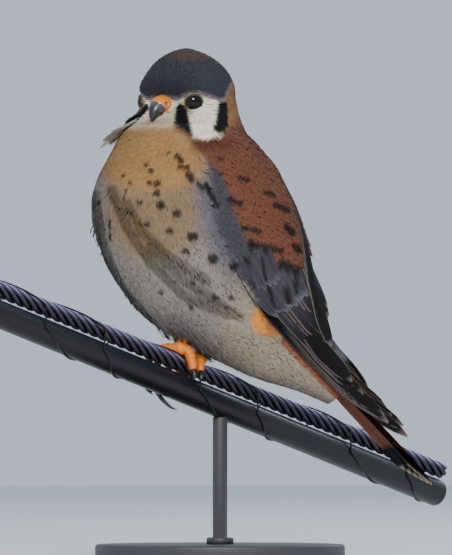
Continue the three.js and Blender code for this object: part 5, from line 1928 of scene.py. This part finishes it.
def scaled(line, radii, scutes, steps=90, sides=28):
    """A tube with scutes: its radius dips between them on the upper side, and swells for pads below. Its
    colour has painted shade in the notches and on the underside.
    """
    smooth = smooth_line(line, steps)
    share = np.linspace(0, 1, steps)[:, None]
    normals, others = frames_along(smooth)
    angle = all_round(sides)[None]
    ring = normals[:, None] * np.cos(angle)[..., None] + others[:, None] * np.sin(angle)[..., None]
    inner = WIRE_MIDDLE + WIRE_AHEAD * ((smooth - WIRE_MIDDLE) @ WIRE_AHEAD)[:, None]
    outer = (ring * unit(smooth - inner)[:, None]).sum(-1)
    notch = np.abs(np.sin(math.pi * scutes * share)) ** 0.5
    above = fade(outer, -0.1, 0.5)
    pads = fade(-outer, 0.2, 0.9) * np.sin(math.pi * 3 * share) ** 2
    base = through(radii, share[:, 0] * (len(radii) - 1))[:, None]
    radius = base * (1 - 0.1 * above * (1 - notch) + 0.1 * pads)
    points, faces = close_rings(smooth[:, None] + radius[..., None] * ring)
    # Painted shade: darker in the notches between the scutes and on the underside.
    dark = 0.75 * above * (1 - notch) + 0.3 * (1 - above)
    dark = np.concatenate([dark.ravel(), [0.5, 0.5]])
    return points, faces, opaque(wash(ground(points, FOOT_ORANGE), FOOT_SHADE_ORANGE, dark))


def ball_of_foot(along):
    """The palm: a low ball over the wire where the toes meet."""
    middle = wire_point(along, 0, STRAND_RADIUS + GAP + 2.6)
    turn = np.linspace(0.05, math.pi - 0.05, 24)[:, None]
    angle = all_round(32)[None]
    ball = np.stack([np.sin(turn) * np.cos(angle), np.sin(turn) * np.sin(angle),
                     np.cos(turn) + 0 * angle], -1)
    points, faces = close_rings(middle + BALL_RADIUS * ball)
    return points, faces, even(len(points), FOOT_ORANGE)


def add_feet():
    """For each foot its ball and toes in one piece, four claws, and the shank above."""
    for label, (along, toes) in FEET.items():
        pieces = [ball_of_foot(along)]
        for name, toe in toes.items():
            line = toe_line(along, toe)
            pieces.append(scaled(line, np.array(TOE_RADII) * toe[3], 14 if toe[4] else 9))
            radii = through(CLAW_RADII, np.linspace(0, 3, 40))[:, None]
            claw = tube(smooth_line(claw_line(along, toe, line), 40), radii, 20)
            dark = even(len(claw[0]), CLAW_BLACK)
            stands_for = (f"claw_{label}_{name}",)
            make(f"claw_{label}_{name}_horn", *claw, HORN_FINISH, "claw", dark, None, stands_for)
        points, faces = join([piece[:2] for piece in pieces])
        paints = np.concatenate([piece[2] for piece in pieces])
        make(f"foot_{label}_skin", points, faces, BARE, "foot_skin", paints, None, (f"foot_{label}",))
        low = wire_point(along, 0, STRAND_RADIUS + GAP + 3.4)
        line = np.array([low, low + SHANK_LEAN * SHANK_LENGTH * 0.5, low + SHANK_LEAN * SHANK_LENGTH])
        shank = scaled(line, SHANK_RADII, 11)
        make(f"leg_{label}_skin", *shank[:2], BARE, "foot_skin", shank[2], None, (f"leg_{label}",))


add_feet()

# %% [markdown]
# ## Display stand
# The photograph shows no stand. For the model the wire is cut short, and one rod from a round base
# holds it. Base and rod are turned forms: a profile carried round an axis.

# %% Stand
BASE_RADIUS = 60.0
BASE_HEIGHT = 10.0
BASE_BEVEL = 1.5
ROD_RADIUS = 3.5
COLLAR_RADIUS = 6.5


def turned(profile, sides=128):
    """A closed solid of revolution about the upright axis under the middle of the wire."""
    profile = np.array(profile, float)
    angle = all_round(sides)
    ring = np.stack([np.cos(angle), np.sin(angle), 0 * angle], -1)
    axis = WIRE_MIDDLE * [1, 1, 0]
    return close_rings(axis + profile[:, :1, None] * ring + profile[:, 1:, None] * UP)


def stand_build(tree):
    """Grey lacquer, very slightly mottled."""
    grain = grain_of(tree, 1500.0, 2.0)
    colour = mix_colours(tree, grain.fade(0.35, 0.65), paint(52, 53, 57), paint(60, 61, 66))
    bump = bumped(tree, 0.1, 0.0002, grain)
    return {"Base Color": colour, "Roughness": 0.45 + grain * 0.15, "Normal": bump}


STAND = material("stand_lacquer", stand_build)


def add_stand():
    """The disc with its rounded rim, and the rod with its collar, as turned profiles."""
    turn = np.linspace(0, math.pi / 2, 7)
    rim = np.stack([BASE_RADIUS - BASE_BEVEL * (1 - np.cos(turn)),
                    BASE_HEIGHT - BASE_BEVEL * (1 - np.sin(turn))], -1)
    foot = [(1.0, 0), (BASE_RADIUS - 0.8, 0), (BASE_RADIUS, 0.8)]
    make("stand_base_disc", *turned([*foot, *rim, (1.0, BASE_HEIGHT)]), STAND, "stand_paint", None, None,
         ("stand_base",))
    top = WIRE_MIDDLE[2] - CABLE_DROP - CABLE_RADIUS - 0.2
    steps = [(0.5, 0.1), (COLLAR_RADIUS, 0.1), (COLLAR_RADIUS, 2.6), (COLLAR_RADIUS - 0.6, 3.2),
             (ROD_RADIUS, 3.4)]
    collar = [(radius, BASE_HEIGHT + rise) for radius, rise in steps]
    rod = [*collar, (ROD_RADIUS, top), (ROD_RADIUS - 0.3, top + 0.3), (0.5, top + 0.3)]
    make("stand_rod_bar", *turned(rod), STAND, "stand_paint", None, None, ("stand_rod",))


add_stand()

# %% [markdown]
# ## Stage and light
# The bird stands on a plain pale floor under soft light: one broad lamp from the camera's side and
# above, a weaker one behind, and an even pale light from all round.

# %% Floor and lamps
FLOOR_HALF = 3.0
LIT_MIDDLE = (0, 0, 0.15)


def add_stage():
    """A plain square floor."""
    side = FLOOR_HALF
    corners = np.array([[-side, -side, 0], [side, -side, 0], [side, side, 0], [-side, side, 0]])
    mesh = bpy.data.meshes.new("floor")
    mesh.from_pydata(corners.tolist(), [], [(0, 1, 2, 3)])
    floor = bpy.data.objects.new("floor", mesh)
    bpy.context.scene.collection.objects.link(floor)
    mesh.materials.append(material("floor", lambda tree: {}, Base_Color=paint(214, 218, 224), Roughness=0.8))


def add_lamp(name, place, size, power, colour):
    """A square lamp that points at the middle of the model."""
    light = bpy.data.lights.new(name, "AREA")
    light.size = size
    light.energy = power
    light.color = colour
    lamp = bpy.data.objects.new(name, light)
    lamp.location = place
    aim = Vector(LIT_MIDDLE) - Vector(place)
    lamp.rotation_euler = aim.to_track_quat("-Z", "Y").to_euler()
    bpy.context.scene.collection.objects.link(lamp)


def add_surround():
    """An even light from all round."""
    world = bpy.data.worlds.new("surround")
    world.use_nodes = True
    backdrop = world.node_tree.nodes["Background"]
    backdrop.inputs["Color"].default_value = paint(206, 216, 232)
    backdrop.inputs["Strength"].default_value = 0.95
    bpy.context.scene.world = world


add_stage()
add_lamp("sun", place=(-0.5, -2.1, 1.25), size=0.6, power=62, colour=(1.0, 0.95, 0.86))
add_lamp("rim", place=(1.2, 1.2, 1.4), size=1.0, power=14, colour=(0.9, 0.95, 1.0))
add_surround()
